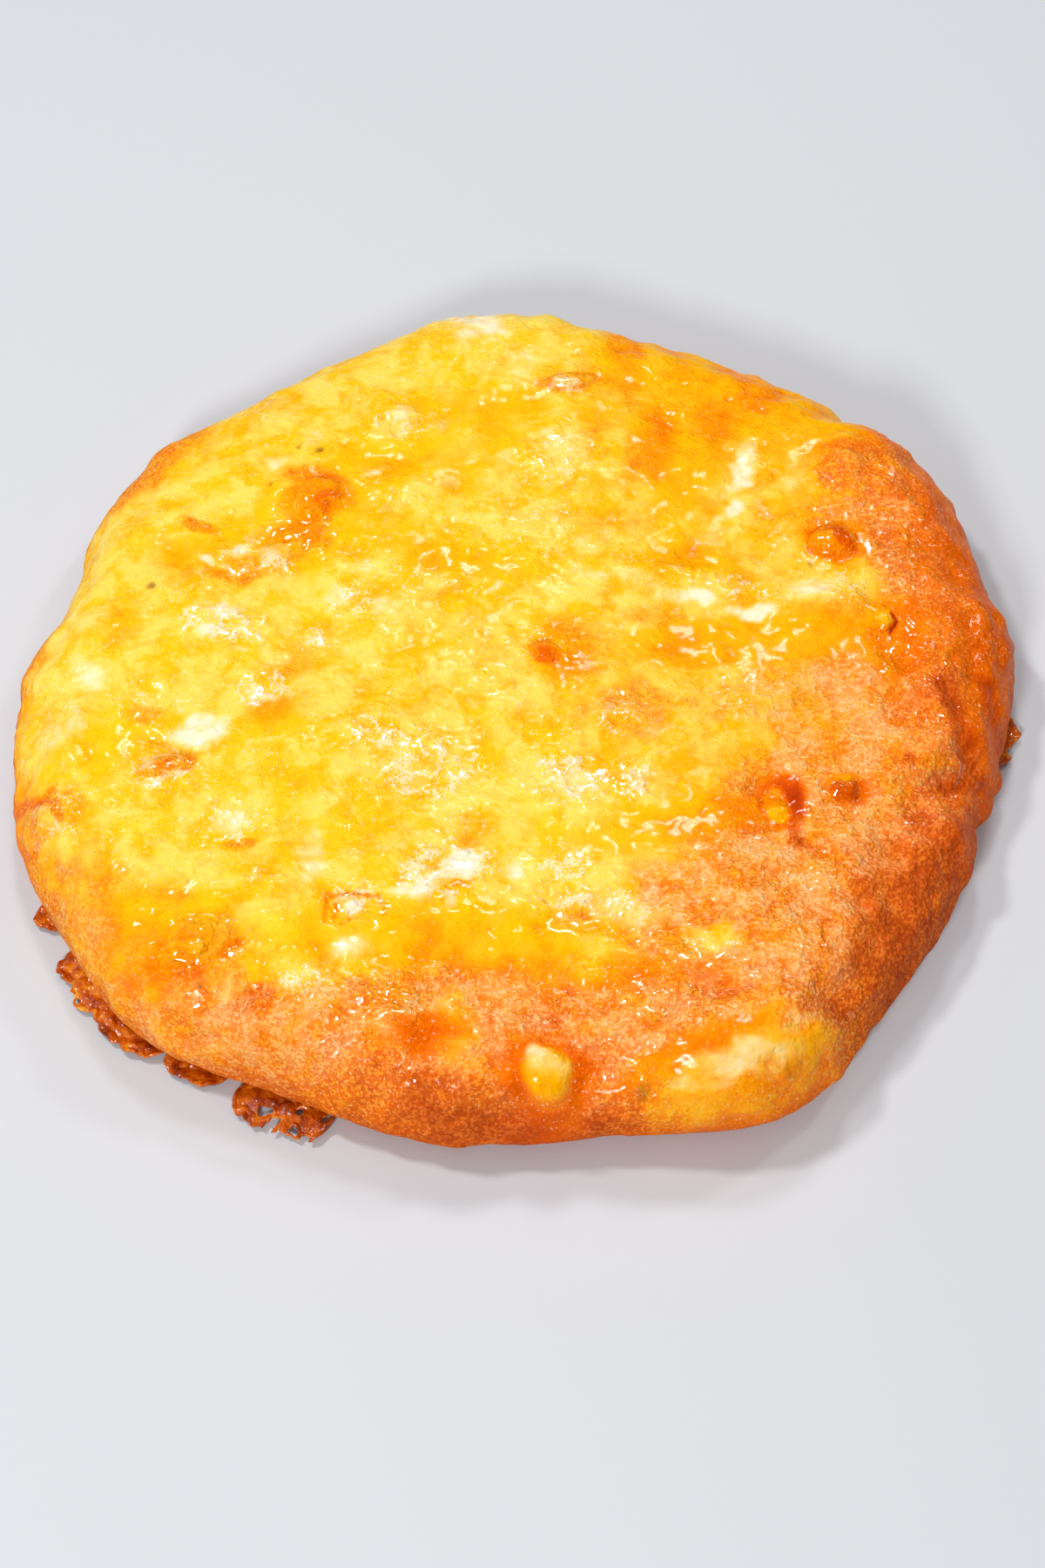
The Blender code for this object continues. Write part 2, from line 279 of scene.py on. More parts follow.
# soft unevenness: height of its crests, length of a wave and shift of its noise.
# Those of the form and the skin are in millimetres, those of the colours in shares
softWaves = {
    "long swell": (0.9, 21, 0),
    "short swell": (0.45, 8, 0),
    "wander x": (0.6, 2.6, 7.7),
    "fine wander x": (0.25, 1.1, 3.3),
    "wander y": (0.6, 2.6, 9.1),
    "fine wander y": (0.25, 1.1, 6.4),
    "curds": (0.3, 4.2, 1.3),
    "lumps": (0.17, 2.1, 5.1),
    "fine lines": (0.09, 0.9, 6.3),
    "crusty lumps": (0.44, 3, 32),
    "crusty grain": (0.2, 1.3, 33),
    "blister skin": (0.14, 1.1, 39),
    "fine wrinkles": (0.08, 0.8, 9.8),
    "rough stretches": (1, 10, 3.1),
    "wrinkled": (0.25, 9, 3.7),
    "pits": (1, 1.9, 31),
    "tone": (0.06, 7, 61),
    "small tone": (0.06, 3.4, 67),
    "fine tone": (0.05, 1.5, 71),
    "side": (0.06, 5, 87),
    "underside": (0.1, 9, 5),
    "fine underside": (0.08, 2.5, 9),
    "pale": (0.35, 2.2, 73),
    "fine pale": (0.25, 1, 79),
    "amber and peach": (0.3, 4, 83),
    "torn edge": (0.9, 2.4, 0),
    "fine torn edge": (0.54, 0.8, 0),
    "frill bubbles": (0.6, 2.8, 4),
    "frill swell": (0.45, 3.3, 8),
    "frill grain": (0.12, 0.6, 2),
    "frill holes": (1, 2.1, 14),
    "crisp skin": (0.07, 0.7, 3),
    "fine crisp skin": (0.03, 0.35, 5),
}


def wave(points, name):
    height, size, shift = softWaves[name]
    return height * grain(points, size, shift)


def rimRadius(bearing):
    radius = np.full_like(bearing, bun["radius"])
    for middle, halfWidth, reach in rimSwells.values():
        away = np.abs((bearing - middle + 180.0) % 360.0 - 180.0)
        radius += np.where(away < halfWidth, reach * 0.5 * (1.0 + np.cos(pi * away / halfWidth)), 0.0)
    return radius


def crustProfile():
    # a fine half section in millimetres, from the middle of the crown down to the foot
    crownEdge = bun["radius"] - bun["shoulderRun"]
    rise = bun["height"] - bun["crownDrop"] - bun["widestHeight"]
    share = np.linspace(0.0, 1.0, bun["profileSteps"])
    turn = 0.5 * pi * share[1:]
    radius = np.concatenate([crownEdge * share, crownEdge + bun["shoulderRun"] * np.sin(turn),
                             bun["radius"] - bun["footTuck"] * (1.0 - np.cos(turn))])
    height = np.concatenate([bun["height"] - bun["crownDrop"] * share ** 2,
                             bun["widestHeight"] + rise * np.cos(turn),
                             bun["widestHeight"] * (1.0 - np.sin(turn))])
    return radius, height


def spreadBall(ball):
    # every point of a ball gets its place on the bun, with the same share of the skin round it
    radius, height = crustProfile()
    step = np.hypot(np.diff(radius), np.diff(height))
    area = np.concatenate([[0.0], np.cumsum(step * 0.5 * (radius[1:] + radius[:-1]))])
    area /= area[-1]
    share = 0.5 * (1.0 - ball[:, 2])
    along = np.clip(share / bun["shownShare"], 0.0, 1.0)
    left = np.clip((1.0 - share) / (1.0 - bun["shownShare"]), 0.0, 1.0)
    footRadius = bun["radius"] - bun["footTuck"]
    shown = share < bun["shownShare"]
    newRadius = np.where(shown, np.interp(along, area, radius), footRadius * np.sqrt(left))
    newHeight = np.where(shown, np.interp(along, area, height), 0.0)
    bearing = np.arctan2(ball[:, 1], ball[:, 0])
    growth = rimRadius(np.degrees(bearing) % 360.0) - bun["radius"]
    newRadius += growth * softStep(newRadius, bun["swellStart"] * bun["radius"], footRadius)
    return np.stack([newRadius * np.cos(bearing), newRadius * np.sin(bearing), newHeight], axis=1)


def ovalDistance(x, y, middleX, middleY, length, width, turn):
    # 0 in the middle of an oval and 1 at its edge
    alongX, alongY = cos(radians(turn)), sin(radians(turn))
    along = ((x - middleX) * alongX + (y - middleY) * alongY) / (0.5 * length)
    across = ((y - middleY) * alongX - (x - middleX) * alongY) / (0.5 * width)
    return np.hypot(along, across)


def lineDistance(x, y, start, end):
    alongX, alongY = end[0] - start[0], end[1] - start[1]
    x, y = x - start[0], y - start[1]
    share = np.clip((x * alongX + y * alongY) / (alongX ** 2 + alongY ** 2), 0.0, 1.0)
    return np.hypot(x - share * alongX, y - share * alongY)


def calmed(points, name):
    # 1 outside a calm place, and the share that is left inside it
    *oval, start, end, least = calmPlaces[name]
    return least + (1.0 - least) * softStep(ovalDistance(points[:, 0], points[:, 1], *oval), start, end)


def unevenPlace(points):
    # where a point counts for small forms, so that their outlines wander, but not the nugget's
    share = calmed(points, "nugget, outline")
    return [place + share * (wave(points, "wander " + name) + wave(points, "fine wander " + name))
            for place, name in zip(points.T, "xy")]


def crustRelief(points):
    # the forms that the solid has too
    x, y, z = points.T
    relief = wave(points, "long swell") + wave(points, "short swell")
    relief *= softStep(z, 0.0, bun["widestHeight"])
    placed = np.zeros(len(points))
    for *oval, rise in crownLumps.values():
        placed += rise * (1.0 - np.clip(0.5 * ovalDistance(x, y, *oval), 0.0, 1.0) ** 2) ** 3
    for start, end, width, depth in creases.values():
        placed -= depth * (1.0 - np.clip(lineDistance(x, y, start, end) / width, 0.0, 1.0) ** 2) ** 2
    bentX, bentY = unevenPlace(points)
    for middleX, middleY, length, width, turn, rise in blisters.values():
        inside = np.clip(ovalDistance(bentX, bentY, middleX, middleY, length, width, turn), 0.0, 1.0)
        halfHeight = bun["blisterHeight"] * width
        cap = halfHeight * np.sqrt(1.0 - inside ** 2) + rise - halfHeight
        placed += np.where(inside < 1.0, np.maximum(cap, 0.0), 0.0)
    return relief + placed * softStep(z, 0.5 * bun["widestHeight"], 2.0 * bun["widestHeight"])


# shallow hollows in the browned crust: place, length, width, turn, depth
hollows = {
    "below fold": (43.3, -20.8, 5, 5, 0, 0.5),
    "right": (40.5, -24.8, 4, 4.5, 0, 0.45),
    "lower right": (39.8, -31, 5, 4.6, 0, 0.5),
    "lower right, low": (38, -36, 4.5, 4, 0, 0.35),
    "behind roll": (32.5, -43, 12, 3.6, 38, 0.6),
    "left of nugget": (-3.5, -50.3, 6, 4, 0, 0.4),
    "right of nugget": (8.5, -50.5, 5, 5, 0, 0.45),
    "front band": (-9.5, -48, 6, 4.2, 0, 0.45),
    "front band, left": (-27, -44, 5, 3.4, 20, 0.4),
    "above nugget": (2, -46.6, 5, 3, 0, 0.35),
    "front right": (21, -43.5, 9, 3, 18, 0.35),
    "right of crater": (40, -9, 7, 4, 20, 0.3),
}

# where the crust is wrinkled and oily: place, length, width, turn, strength in percent
wrinkledPatches = {
    "amber cluster": (-26, 17, 15, 12, 45, 90),
    "left of cluster": (-33, 13, 12, 6, 10, 70),
    "white flakes": (-33, 4, 14, 7, -15, 75),
    "above white chunk": (-28, -5, 9, 8, 0, 75),
    "left spot": (-38.5, -15, 9, 6, 10, 100),
    "left rim": (-50, -8, 9, 8, 0, 50),
    "middle left": (-18, 8, 12, 8, 20, 50),
    "small ring": (-23, 2, 6, 5, 0, 70),
    "middle squiggles": (-10, -15, 16, 12, -20, 80),
    "left of squiggles": (-16, -12, 6, 10, 10, 70),
    "cream bubble": (5, -17, 11, 8, 0, 100),
    "right of bubble": (12.5, -17, 6, 6, 0, 90),
    "browned spot": (11, -8, 9, 8, 0, 70),
    "cheese strand": (-8, -29, 14, 9, 20, 90),
    "curd pit": (-17.5, -33, 9, 7, 0, 100),
    "middle front": (4, -28, 10, 8, 0, 70),
    "front middle wrinkles": (8, -34, 18, 8, -10, 90),
    "front left blister": (-33, -38, 12, 9, 30, 100),
    "front band": (-18, -44, 28, 8, -8, 80),
    "pale left": (-31, -23, 11, 8, 0, 60),
    "front right band": (18, -42, 22, 12, 20, 60),
    "back glints": (-13, 34, 14, 8, 10, 60),
    "back ridge": (5, 40.5, 8, 4, 0, 90),
    "back middle": (5, 29, 12, 12, 0, 50),
    "crease end": (22, 10, 24, 6, -12, 50),
    "crease right end": (36, 9, 9, 8, 0, 55),
    "middle dome": (4, 1, 8, 7, 0, 80),
    "right speckle": (25, -5, 14, 10, 0, 50),
    "crater": (31, -19, 12, 8, 0, 50),
    "dark dome": (35, -18, 5, 4, 0, 90),
    "step": (42, 3, 6, 7, 0, 90),
    "caramel dome": (36, 16, 8, 8, 0, 80),
    "back right patch": (19, 36, 6, 7, 0, 50),
    "nugget": (3, -51, 9, 8, 0, 30),
    "left cluster": (-51, -20, 10, 8, 20, 70),
    "right of caramel dome": (43, 15, 10, 6, -20, 70),
    "under chip": (41, -1, 5, 6, 0, 90),
    "right crust": (48, -4, 8, 12, 0, 60),
    "fold": (47, -14, 12, 6, 25, 70),
    "back right crust": (47, 22, 8, 12, 0, 40),
    "lower right crust": (34, -28, 14, 10, 40, 40),
}

# finer relief that the solid leaves out, in millimetres and in shares of a form's size
fineSkin = {
    "wrinkledAnyway": 0.25,    # how wrinkled the crown is away from its patches
    "patchEdge": (1.3, 0.4),   # where a wrinkled patch starts and where it is full
    "roughFrom": (-0.2, 0.3),
    "smoothShare": 0.5,        # of the small lumps that smooth stretches keep
    "hollowEdge": (1.4, 0.2),
    "moat": 0.14,              # depth of the groove round a blister
    "moatPlace": 1.08,
    "moatWidth": 0.22,
    "crests": (0.26, 2.6, 2.2),   # wrinkles: height, length of a wave, shift of the noise
    "smallCrests": (0.18, 1.3, 8.4),
    "smallShare": 0.7,         # of the small crests among those painted
    "crestsFrom": (0.25, 0.8),
    "wrinkleDrop": 0.16,       # how far the skin sinks between its crests
    "stretch": (0.55, 1, 1),   # wrinkles run a little more from left to right
    "pit": 0.32,
    "pitsFrom": (0.42, 0.62),
    "meltAbove": 0.6,
    "melting": 0.5,
}

# how wrinkles are bent: reach and size, and the shift of the noise for each axis
bends = {"small": (0.9, 3.0, (11, 17, 23)), "slow": (1.6, 8.0, (29, 37, 43))}


def bend(points, name):
    reach, size, shifts = bends[name]
    return reach * np.stack([grain(points, size, shift) for shift in shifts], axis=1)


def fineRelief(points):
    # soft curds, wrinkled skin, hollows and small pits; also how wrinkled the skin is, and its crests
    x, y, z = points.T
    wrinkled = fineSkin["wrinkledAnyway"] + wave(points, "wrinkled")
    for *oval, strength in wrinkledPatches.values():
        distance = ovalDistance(x, y, *oval)
        wrinkled = np.maximum(wrinkled, strength * percent * softStep(distance, *fineSkin["patchEdge"]))
    wrinkled *= softStep(z, *bun["crownFrom"]) * calmed(points, "below the crease")
    bent = points + bend(points, "small")
    flow = bent * fineSkin["stretch"] + bend(points, "slow")

    rough = softStep(wave(points, "rough stretches"), *fineSkin["roughFrom"])
    rough = fineSkin["smoothShare"] + (1.0 - fineSkin["smoothShare"]) * rough
    fine = wave(points, "curds") + rough * (wave(points, "lumps") + wave(flow, "fine lines"))
    crusty = calmed(points, "raw cheese") * calmed(points, "roll")
    fine += crusty * (wave(points, "crusty lumps") + wave(points, "crusty grain"))
    bentX, bentY = unevenPlace(points)
    moat = np.zeros(len(points))
    blisterSkin = wave(points, "blister skin")
    for *oval, rise in blisters.values():
        distance = ovalDistance(bentX, bentY, *oval)
        groove = np.exp(-((distance - fineSkin["moatPlace"]) / fineSkin["moatWidth"]) ** 2)
        moat = np.maximum(moat, min(rise, 1.0) * groove)
        fine += (distance < 1.0) * blisterSkin
    fine -= fineSkin["moat"] * moat
    for *oval, depth in hollows.values():
        fine -= depth * softStep(ovalDistance(bentX, bentY, *oval), *fineSkin["hollowEdge"])
    (height, *crest), (smallHeight, *smallCrest) = fineSkin["crests"], fineSkin["smallCrests"]
    crests, smallCrests = ridges(bent, *crest), ridges(flow, *smallCrest)
    wrinkles = height * crests + smallHeight * smallCrests - fineSkin["wrinkleDrop"]
    fine += wrinkled * (wrinkles + wave(flow, "fine wrinkles"))
    pits = softStep(wave(points, "pits"), *fineSkin["pitsFrom"])
    fine -= fineSkin["pit"] * pits * (0.4 + 0.6 * wrinkled)
    fine *= calmed(points, "nugget, skin")
    shown = wrinkled * (crests + fineSkin["smallShare"] * smallCrests)
    return fine, moat, wrinkled, softStep(shown, *fineSkin["crestsFrom"])


def makeBun():
    deselectAll()
    bpy.ops.mesh.primitive_ico_sphere_add(subdivisions=bun["subdivisions"], radius=1.0, location=(0, 0, 0))
    piece = bpy.context.object
    piece.name = "bunCrust"
    points = spreadBall(readPoints(piece.data))
    writePoints(piece.data, points * mm)

    # the flat underside needs few faces
    groupPoints(piece, "underside", points[:, 2] < 1e-6)
    thin = piece.modifiers.new("thin", "DECIMATE")
    thin.ratio = 1.0 - (1.0 - bun["shownShare"]) * (1.0 - bun["undersideKept"])
    thin.vertex_group = "underside"
    applyModifiers(piece)

    points = readPoints(piece.data) / mm
    shown = softStep(points[:, 2], 0.0, bun["widestHeight"])
    points += readNormals(piece.data) * crustRelief(points)[:, None]
    writePoints(piece.data, points * mm)
    fine, moat, wrinkled, crests = fineRelief(points)
    points += readNormals(piece.data) * (fine * shown)[:, None]
    points[:, 2] = np.maximum(points[:, 2], 0.0)
    writePoints(piece.data, points * mm)
    groupPoints(piece, "skin", points[:, 2] > fineSkin["meltAbove"])
    melted = piece.modifiers.new("melted", "SMOOTH")
    melted.factor = fineSkin["melting"]
    melted.iterations = 1
    melted.vertex_group = "skin"
    applyModifiers(piece)
    piece.data.shade_smooth()
    paint(piece.data, "wrinkled", wrinkled)
    paint(piece.data, "crests", crests)
    return piece, fine, moat


crust, crustFine, crustMoat = makeBun()
print("the bun is shaped:", len(crust.data.polygons), "faces")


# the crust's colours

# how browned each zone is, from 0 for raw cheese to 100 for dark brown, painted one over another:
# place, length, width, turn, browning, soft share of the edge in percent
brownedZones = {
    "back right": (34, 34, 60, 50, 60, 43, 50),
    "right middle": (24, -8, 30, 52, 0, 40, 50),
    "back right rim": (27, 51, 26, 13, -25, 54, 60),
    "right inner crust": (38, -8, 20, 28, 0, 54, 50),
    "right crust": (64, 6, 56, 96, 0, 65, 22),
    "right crust, deeper": (62, 10, 36, 84, 0, 72, 35),
    "right rim": (60, 8, 20, 66, 0, 76, 50),
    "lower right crust": (34, -34, 56, 36, 52, 63, 30),
    "lower right, deeper": (47, -34, 52, 23, 60, 85, 40),
    "front crust": (10, -50, 74, 22, -3, 64, 35),
    "front left crust": (-23, -49, 38, 14, -18, 66, 50),
    "front foot": (0, -59, 84, 11, 0, 84, 60),
    "left front rim": (-48, -35, 54, 16, -52, 55, 60),
    "left rim": (-58, 0, 5, 40, 0, 52, 60),
    "middle": (-6, 5, 24, 12, 0, 35, 70),
    "back left": (-32, 38, 30, 12, 30, 40, 80),
    "back left brim": (-44.5, 32, 20, 8.5, 56, 58, 60),
    "left brim": (-55, 8, 14, 5, 78, 50, 70),
}
# smaller patches over them, told in the same way
brownedPatches = {
    "amber blister": (-23.4, 24, 8, 7.2, 70, 54, 30),
    "red core": (-22.2, 21.9, 3.2, 1.2, 28, 68, 50),
    "amber band": (-26.3, 16.5, 9, 5.5, 30, 57, 50),
    "round pale blister": (-32, 13.5, 15, 9, 10, 41, 60),
    "sliver": (-37.2, 19.2, 4.2, 1.6, -32, 58, 50),
    "right of blister": (-15, 26.5, 9, 6, 0, 38, 70),
    "right of blister, core": (-15.5, 26.5, 4, 3.4, 0, 46, 70),
    "middle back arc": (-9, 13.5, 16, 6, -8, 38, 70),
    "middle back arc, core": (-10.5, 13.5, 5, 4.5, 0, 47, 70),
    "below arc": (-8, 8.5, 4, 2.5, 0, 42, 70),
    "back band": (-6, 37, 16, 8, 10, 36, 70),
    "back specks": (-4, 25, 8, 4, 0, 38, 70),
    "upper back band": (-18, 45, 26, 5, 18, 32, 70),
    "back streak": (12.8, 49, 4.5, 17, 0, 54, 60),
    "back ridge": (6.2, 41.5, 7, 1.8, 6, 70, 60),
    "round back ridge": (7, 40.6, 11, 4.5, 0, 44, 70),
    "orange column": (15.3, 31.5, 6.5, 14, -5, 47, 70),
    "orange column, core": (16.2, 33.5, 3, 8, 0, 56, 80),
    "orange column, foot": (14.3, 27.2, 4, 4, 0, 55, 80),
    "orange streak": (23, 35, 4.5, 8, 0, 55, 60),
    "orange back patch": (28.5, 42, 6, 13, 10, 57, 60),
    "orange back patch, rim": (28, 51.5, 9, 6, -20, 58, 70),
    "left middle spot": (-45, 5.2, 5, 5.5, 0, 40, 60),
    "above chunk": (-26, -1.5, 6, 5.5, 30, 42, 60),
    "beside chunk": (-27, -8.2, 7, 4.8, 10, 48, 60),
    "left of chunk": (-41.3, -7.6, 4.5, 3, 0, 46, 50),
    "small left spot": (-39.3, -12, 3, 1.6, 10, 46, 60),
    "left amber spot": (-38.2, -14.8, 5.5, 2.4, 12, 54, 50),
    "left cluster": (-50.5, -19, 6, 4, -30, 48, 60),
    "left lower glow": (-49, -24, 10, 8, -50, 42, 80),
    "speckled middle spot": (-7.5, -6, 6, 6, -30, 39, 60),
    "squiggle spot": (-16, -11, 3, 6, 15, 36, 60),
    "squiggle spot, low": (-4.5, -11, 3, 3, 0, 38, 60),
    "above strand": (-5, -23.5, 5.5, 5.5, 0, 43, 50),
    "strand hole": (-9.8, -27, 4, 3, 0, 42, 50),
    "below strand": (-8, -36.5, 20, 7, 0, 40, 60),
    "below strand, core": (-9.8, -35.5, 5, 6, 0, 47, 70),
    "left of pit": (-22.5, -31.5, 5, 3, 0, 38, 60),
    "front left patch": (-37, -33, 6, 5, 0, 41, 60),
    "front left blister": (-33.5, -37.5, 9, 6, 8, 48, 50),
    # painted sheen, lighter than the crust round it
    "front left painted sheen": (-25, -40.5, 12, 6, 0, 38, 70),
    "middle dome zone": (6, 0, 9, 10, 15, 48, 60),
    "middle dome": (2.8, 0.3, 2.8, 2.6, 0, 60, 40),
    "right of dome": (6.5, -1.5, 4.5, 5, 0, 53, 70),
    "browned freckles": (12, -8, 9, 8, 30, 47, 60),
    "ring bubble": (14.5, 5.6, 5.5, 2.6, 0, 48, 50),
    "below crease": (20, 1, 12, 4.5, 8, 46, 70),
    "below crease, left": (18, 0, 4, 3, 0, 50, 70),
    "beside crease": (19, 13.8, 6.5, 4.2, 12, 50, 50),
    "smooth yellow": (30, 2.6, 22, 6, 4, 46, 60),
    "pale wrinkled right": (35, 10.5, 13, 7, -12, 37, 50),
    "crease rim": (27, 14.5, 4, 4, 0, 38, 70),
    "orange under chip": (40.5, 1.5, 5, 8, 10, 57, 50),
    "orange in step": (42.5, 8, 3, 3, 0, 60, 60),
    "caramel dome": (35.9, 15.8, 5.6, 5, 0, 56, 25),
    "caramel dome, ridge": (36.8, 16.4, 1.8, 4.6, 38, 76, 40),
    "back right blister, arc": (38, 30.2, 5, 1.6, 0, 68, 70),
    "back right blister": (38.3, 26.8, 5, 5.5, 0, 62, 70),
    "crater": (28.6, -19.3, 5.2, 6.8, 0, 77, 18),
    "crater, inside": (28.2, -19.6, 3.2, 4.8, 0, 57, 35),
    "crater tail": (29.8, -23.8, 1.5, 2.6, 10, 84, 60),
    "dark dome": (35.2, -18, 3.2, 2.8, 0, 80, 40),
    "dark dome, top": (35.6, -16.4, 1.8, 1.4, 0, 52, 60),
    "right of dark dome": (38, -17, 3, 2.4, 0, 74, 70),
    "fold": (47.5, -15.4, 8, 1.8, 27, 86, 70),
    "below fold": (43.3, -20.8, 3.5, 4, 0, 84, 70),
    "right dent": (40.5, -24.8, 2.6, 3.4, 0, 84, 70),
    "lower right dent": (39.8, -31, 3.6, 3.2, 0, 80, 70),
    "lower right dent, low": (38, -36, 3, 3, 0, 78, 70),
    "front right crease": (33.6, -43, 9, 3, 38, 80, 70),
    "dark fleck": (42.7, -13.5, 1.6, 1.4, 0, 84, 60),
    "dark fleck, high": (38.5, -3.4, 1.8, 1.2, 0, 78, 60),
    "front band, left": (-27, -43.6, 3, 1.8, 20, 70, 60),
    "front band, middle": (-9.3, -48.2, 5, 3, 0, 76, 70),
    "front band, right": (-2.5, -50.3, 4, 2.4, 0, 74, 70),
    "above nugget": (2, -46.8, 3, 2, 0, 72, 60),
    "pale front patch": (-6.5, -44.8, 5, 4, 0, 50, 70),
    "front pink patch": (-5.8, -50, 5, 4.5, 0, 52, 70),
    "front orange": (16, -50.4, 9, 3, 20, 62, 60),
    "yellow in front": (20, -37.5, 7, 3.4, 0, 38, 60),
    "yellow in front, left": (6, -36, 12, 5, 0, 37, 70),
    "front roll": (23, -51.4, 20, 8, 26, 46, 35),
    "front roll, low": (25, -55, 20, 5, 28, 56, 60),
    "behind roll": (18.6, -49.9, 15, 2.4, 22, 60, 50),
    "front roll, left end": (16.5, -54.2, 7, 3.4, 6, 50, 50),
    "front nugget ring": (3.8, -51.6, 8, 7.4, 0, 76, 30),
    "right of nugget": (8.5, -50.5, 3.5, 4, 0, 74, 70),
    "front nugget": (3, -51.8, 5.2, 5.4, 0, 46, 20),
    "crater crumb": (28, -21.2, 2, 1.8, 0, 47, 10),
    "yellow chip": (40.2, 5, 4.4, 2.8, 10, 44, 40),
}
# browned lines and arcs: from, to, width, browning
brownedLines = {
    "left cluster line": ((-56, -15.5), (-53, -17.6), 0.6, 58),
    "left cluster line, middle": ((-53, -17.6), (-50.3, -18.6), 0.6, 58),
    "left cluster line, end": ((-50.3, -18.6), (-50, -21.2), 0.6, 56),
    "curd pit, top": ((-20.2, -31.8), (-14.8, -32), 0.3, 52),
    "curd pit, left": ((-20.2, -31.8), (-20.4, -35), 0.3, 52),
    "curd pit, inner": ((-19.2, -32.6), (-19.4, -34.6), 0.3, 60),
    "curd pit, right": ((-14.6, -32.2), (-14.2, -34.4), 0.3, 52),
    "under pale wrinkle": ((-31.5, -25.6), (-28.5, -25.3), 0.6, 46),
    "strand arc": ((-7, -30.6), (-4, -29.8), 0.5, 46),
    "crater wall, high": ((28.6, -17.2), (29.9, -18.6), 0.9, 80),
    "crater wall": ((29.9, -18.6), (30.4, -20.8), 1.1, 85),
    "crater wall, low": ((30.4, -20.8), (29.9, -22.6), 0.9, 80),
    "crack": ((42, 5.2), (42.1, 4.2), 0.3, 92),
    "right wrinkle": ((47.6, -3.5), (50.2, -13.5), 1.5, 84),
    "right wrinkle, outer": ((52.2, -1.5), (54.8, -9.5), 1.3, 84),
    "crack, foot": ((42.1, 4.2), (41.6, 3.5), 0.3, 86),
    "front right line": ((20.5, -44), (23.5, -43), 0.7, 74),
    "front right line, low": ((24, -41.4), (26.5, -40.6), 0.7, 74),
    "amber arc": ((-34.5, 11.6), (-31, 10.4), 0.9, 50),
}
# small dark flecks: place, size, strength
flecks = {
    "by blister": (-23.5, 29.8, 1.1, 90),
    "by blister, left": (-26, 30.2, 0.8, 60),
    "left of blister": (-29.3, 25, 0.8, 70),
    "left": (-42, 10, 1.2, 90),
    "by caramel dome": (33.3, 12.9, 0.8, 90),
    "front left": (-33.5, -42, 0.5, 100),
    "front left line": (-34.8, -30.5, 0.8, 50),
    "roll, right": (27.9, -51.6, 1.3, 35),
    "right": (29, -50.6, 0.9, 30),
    "roll, left end": (12.9, -53.4, 1.3, 50),
}
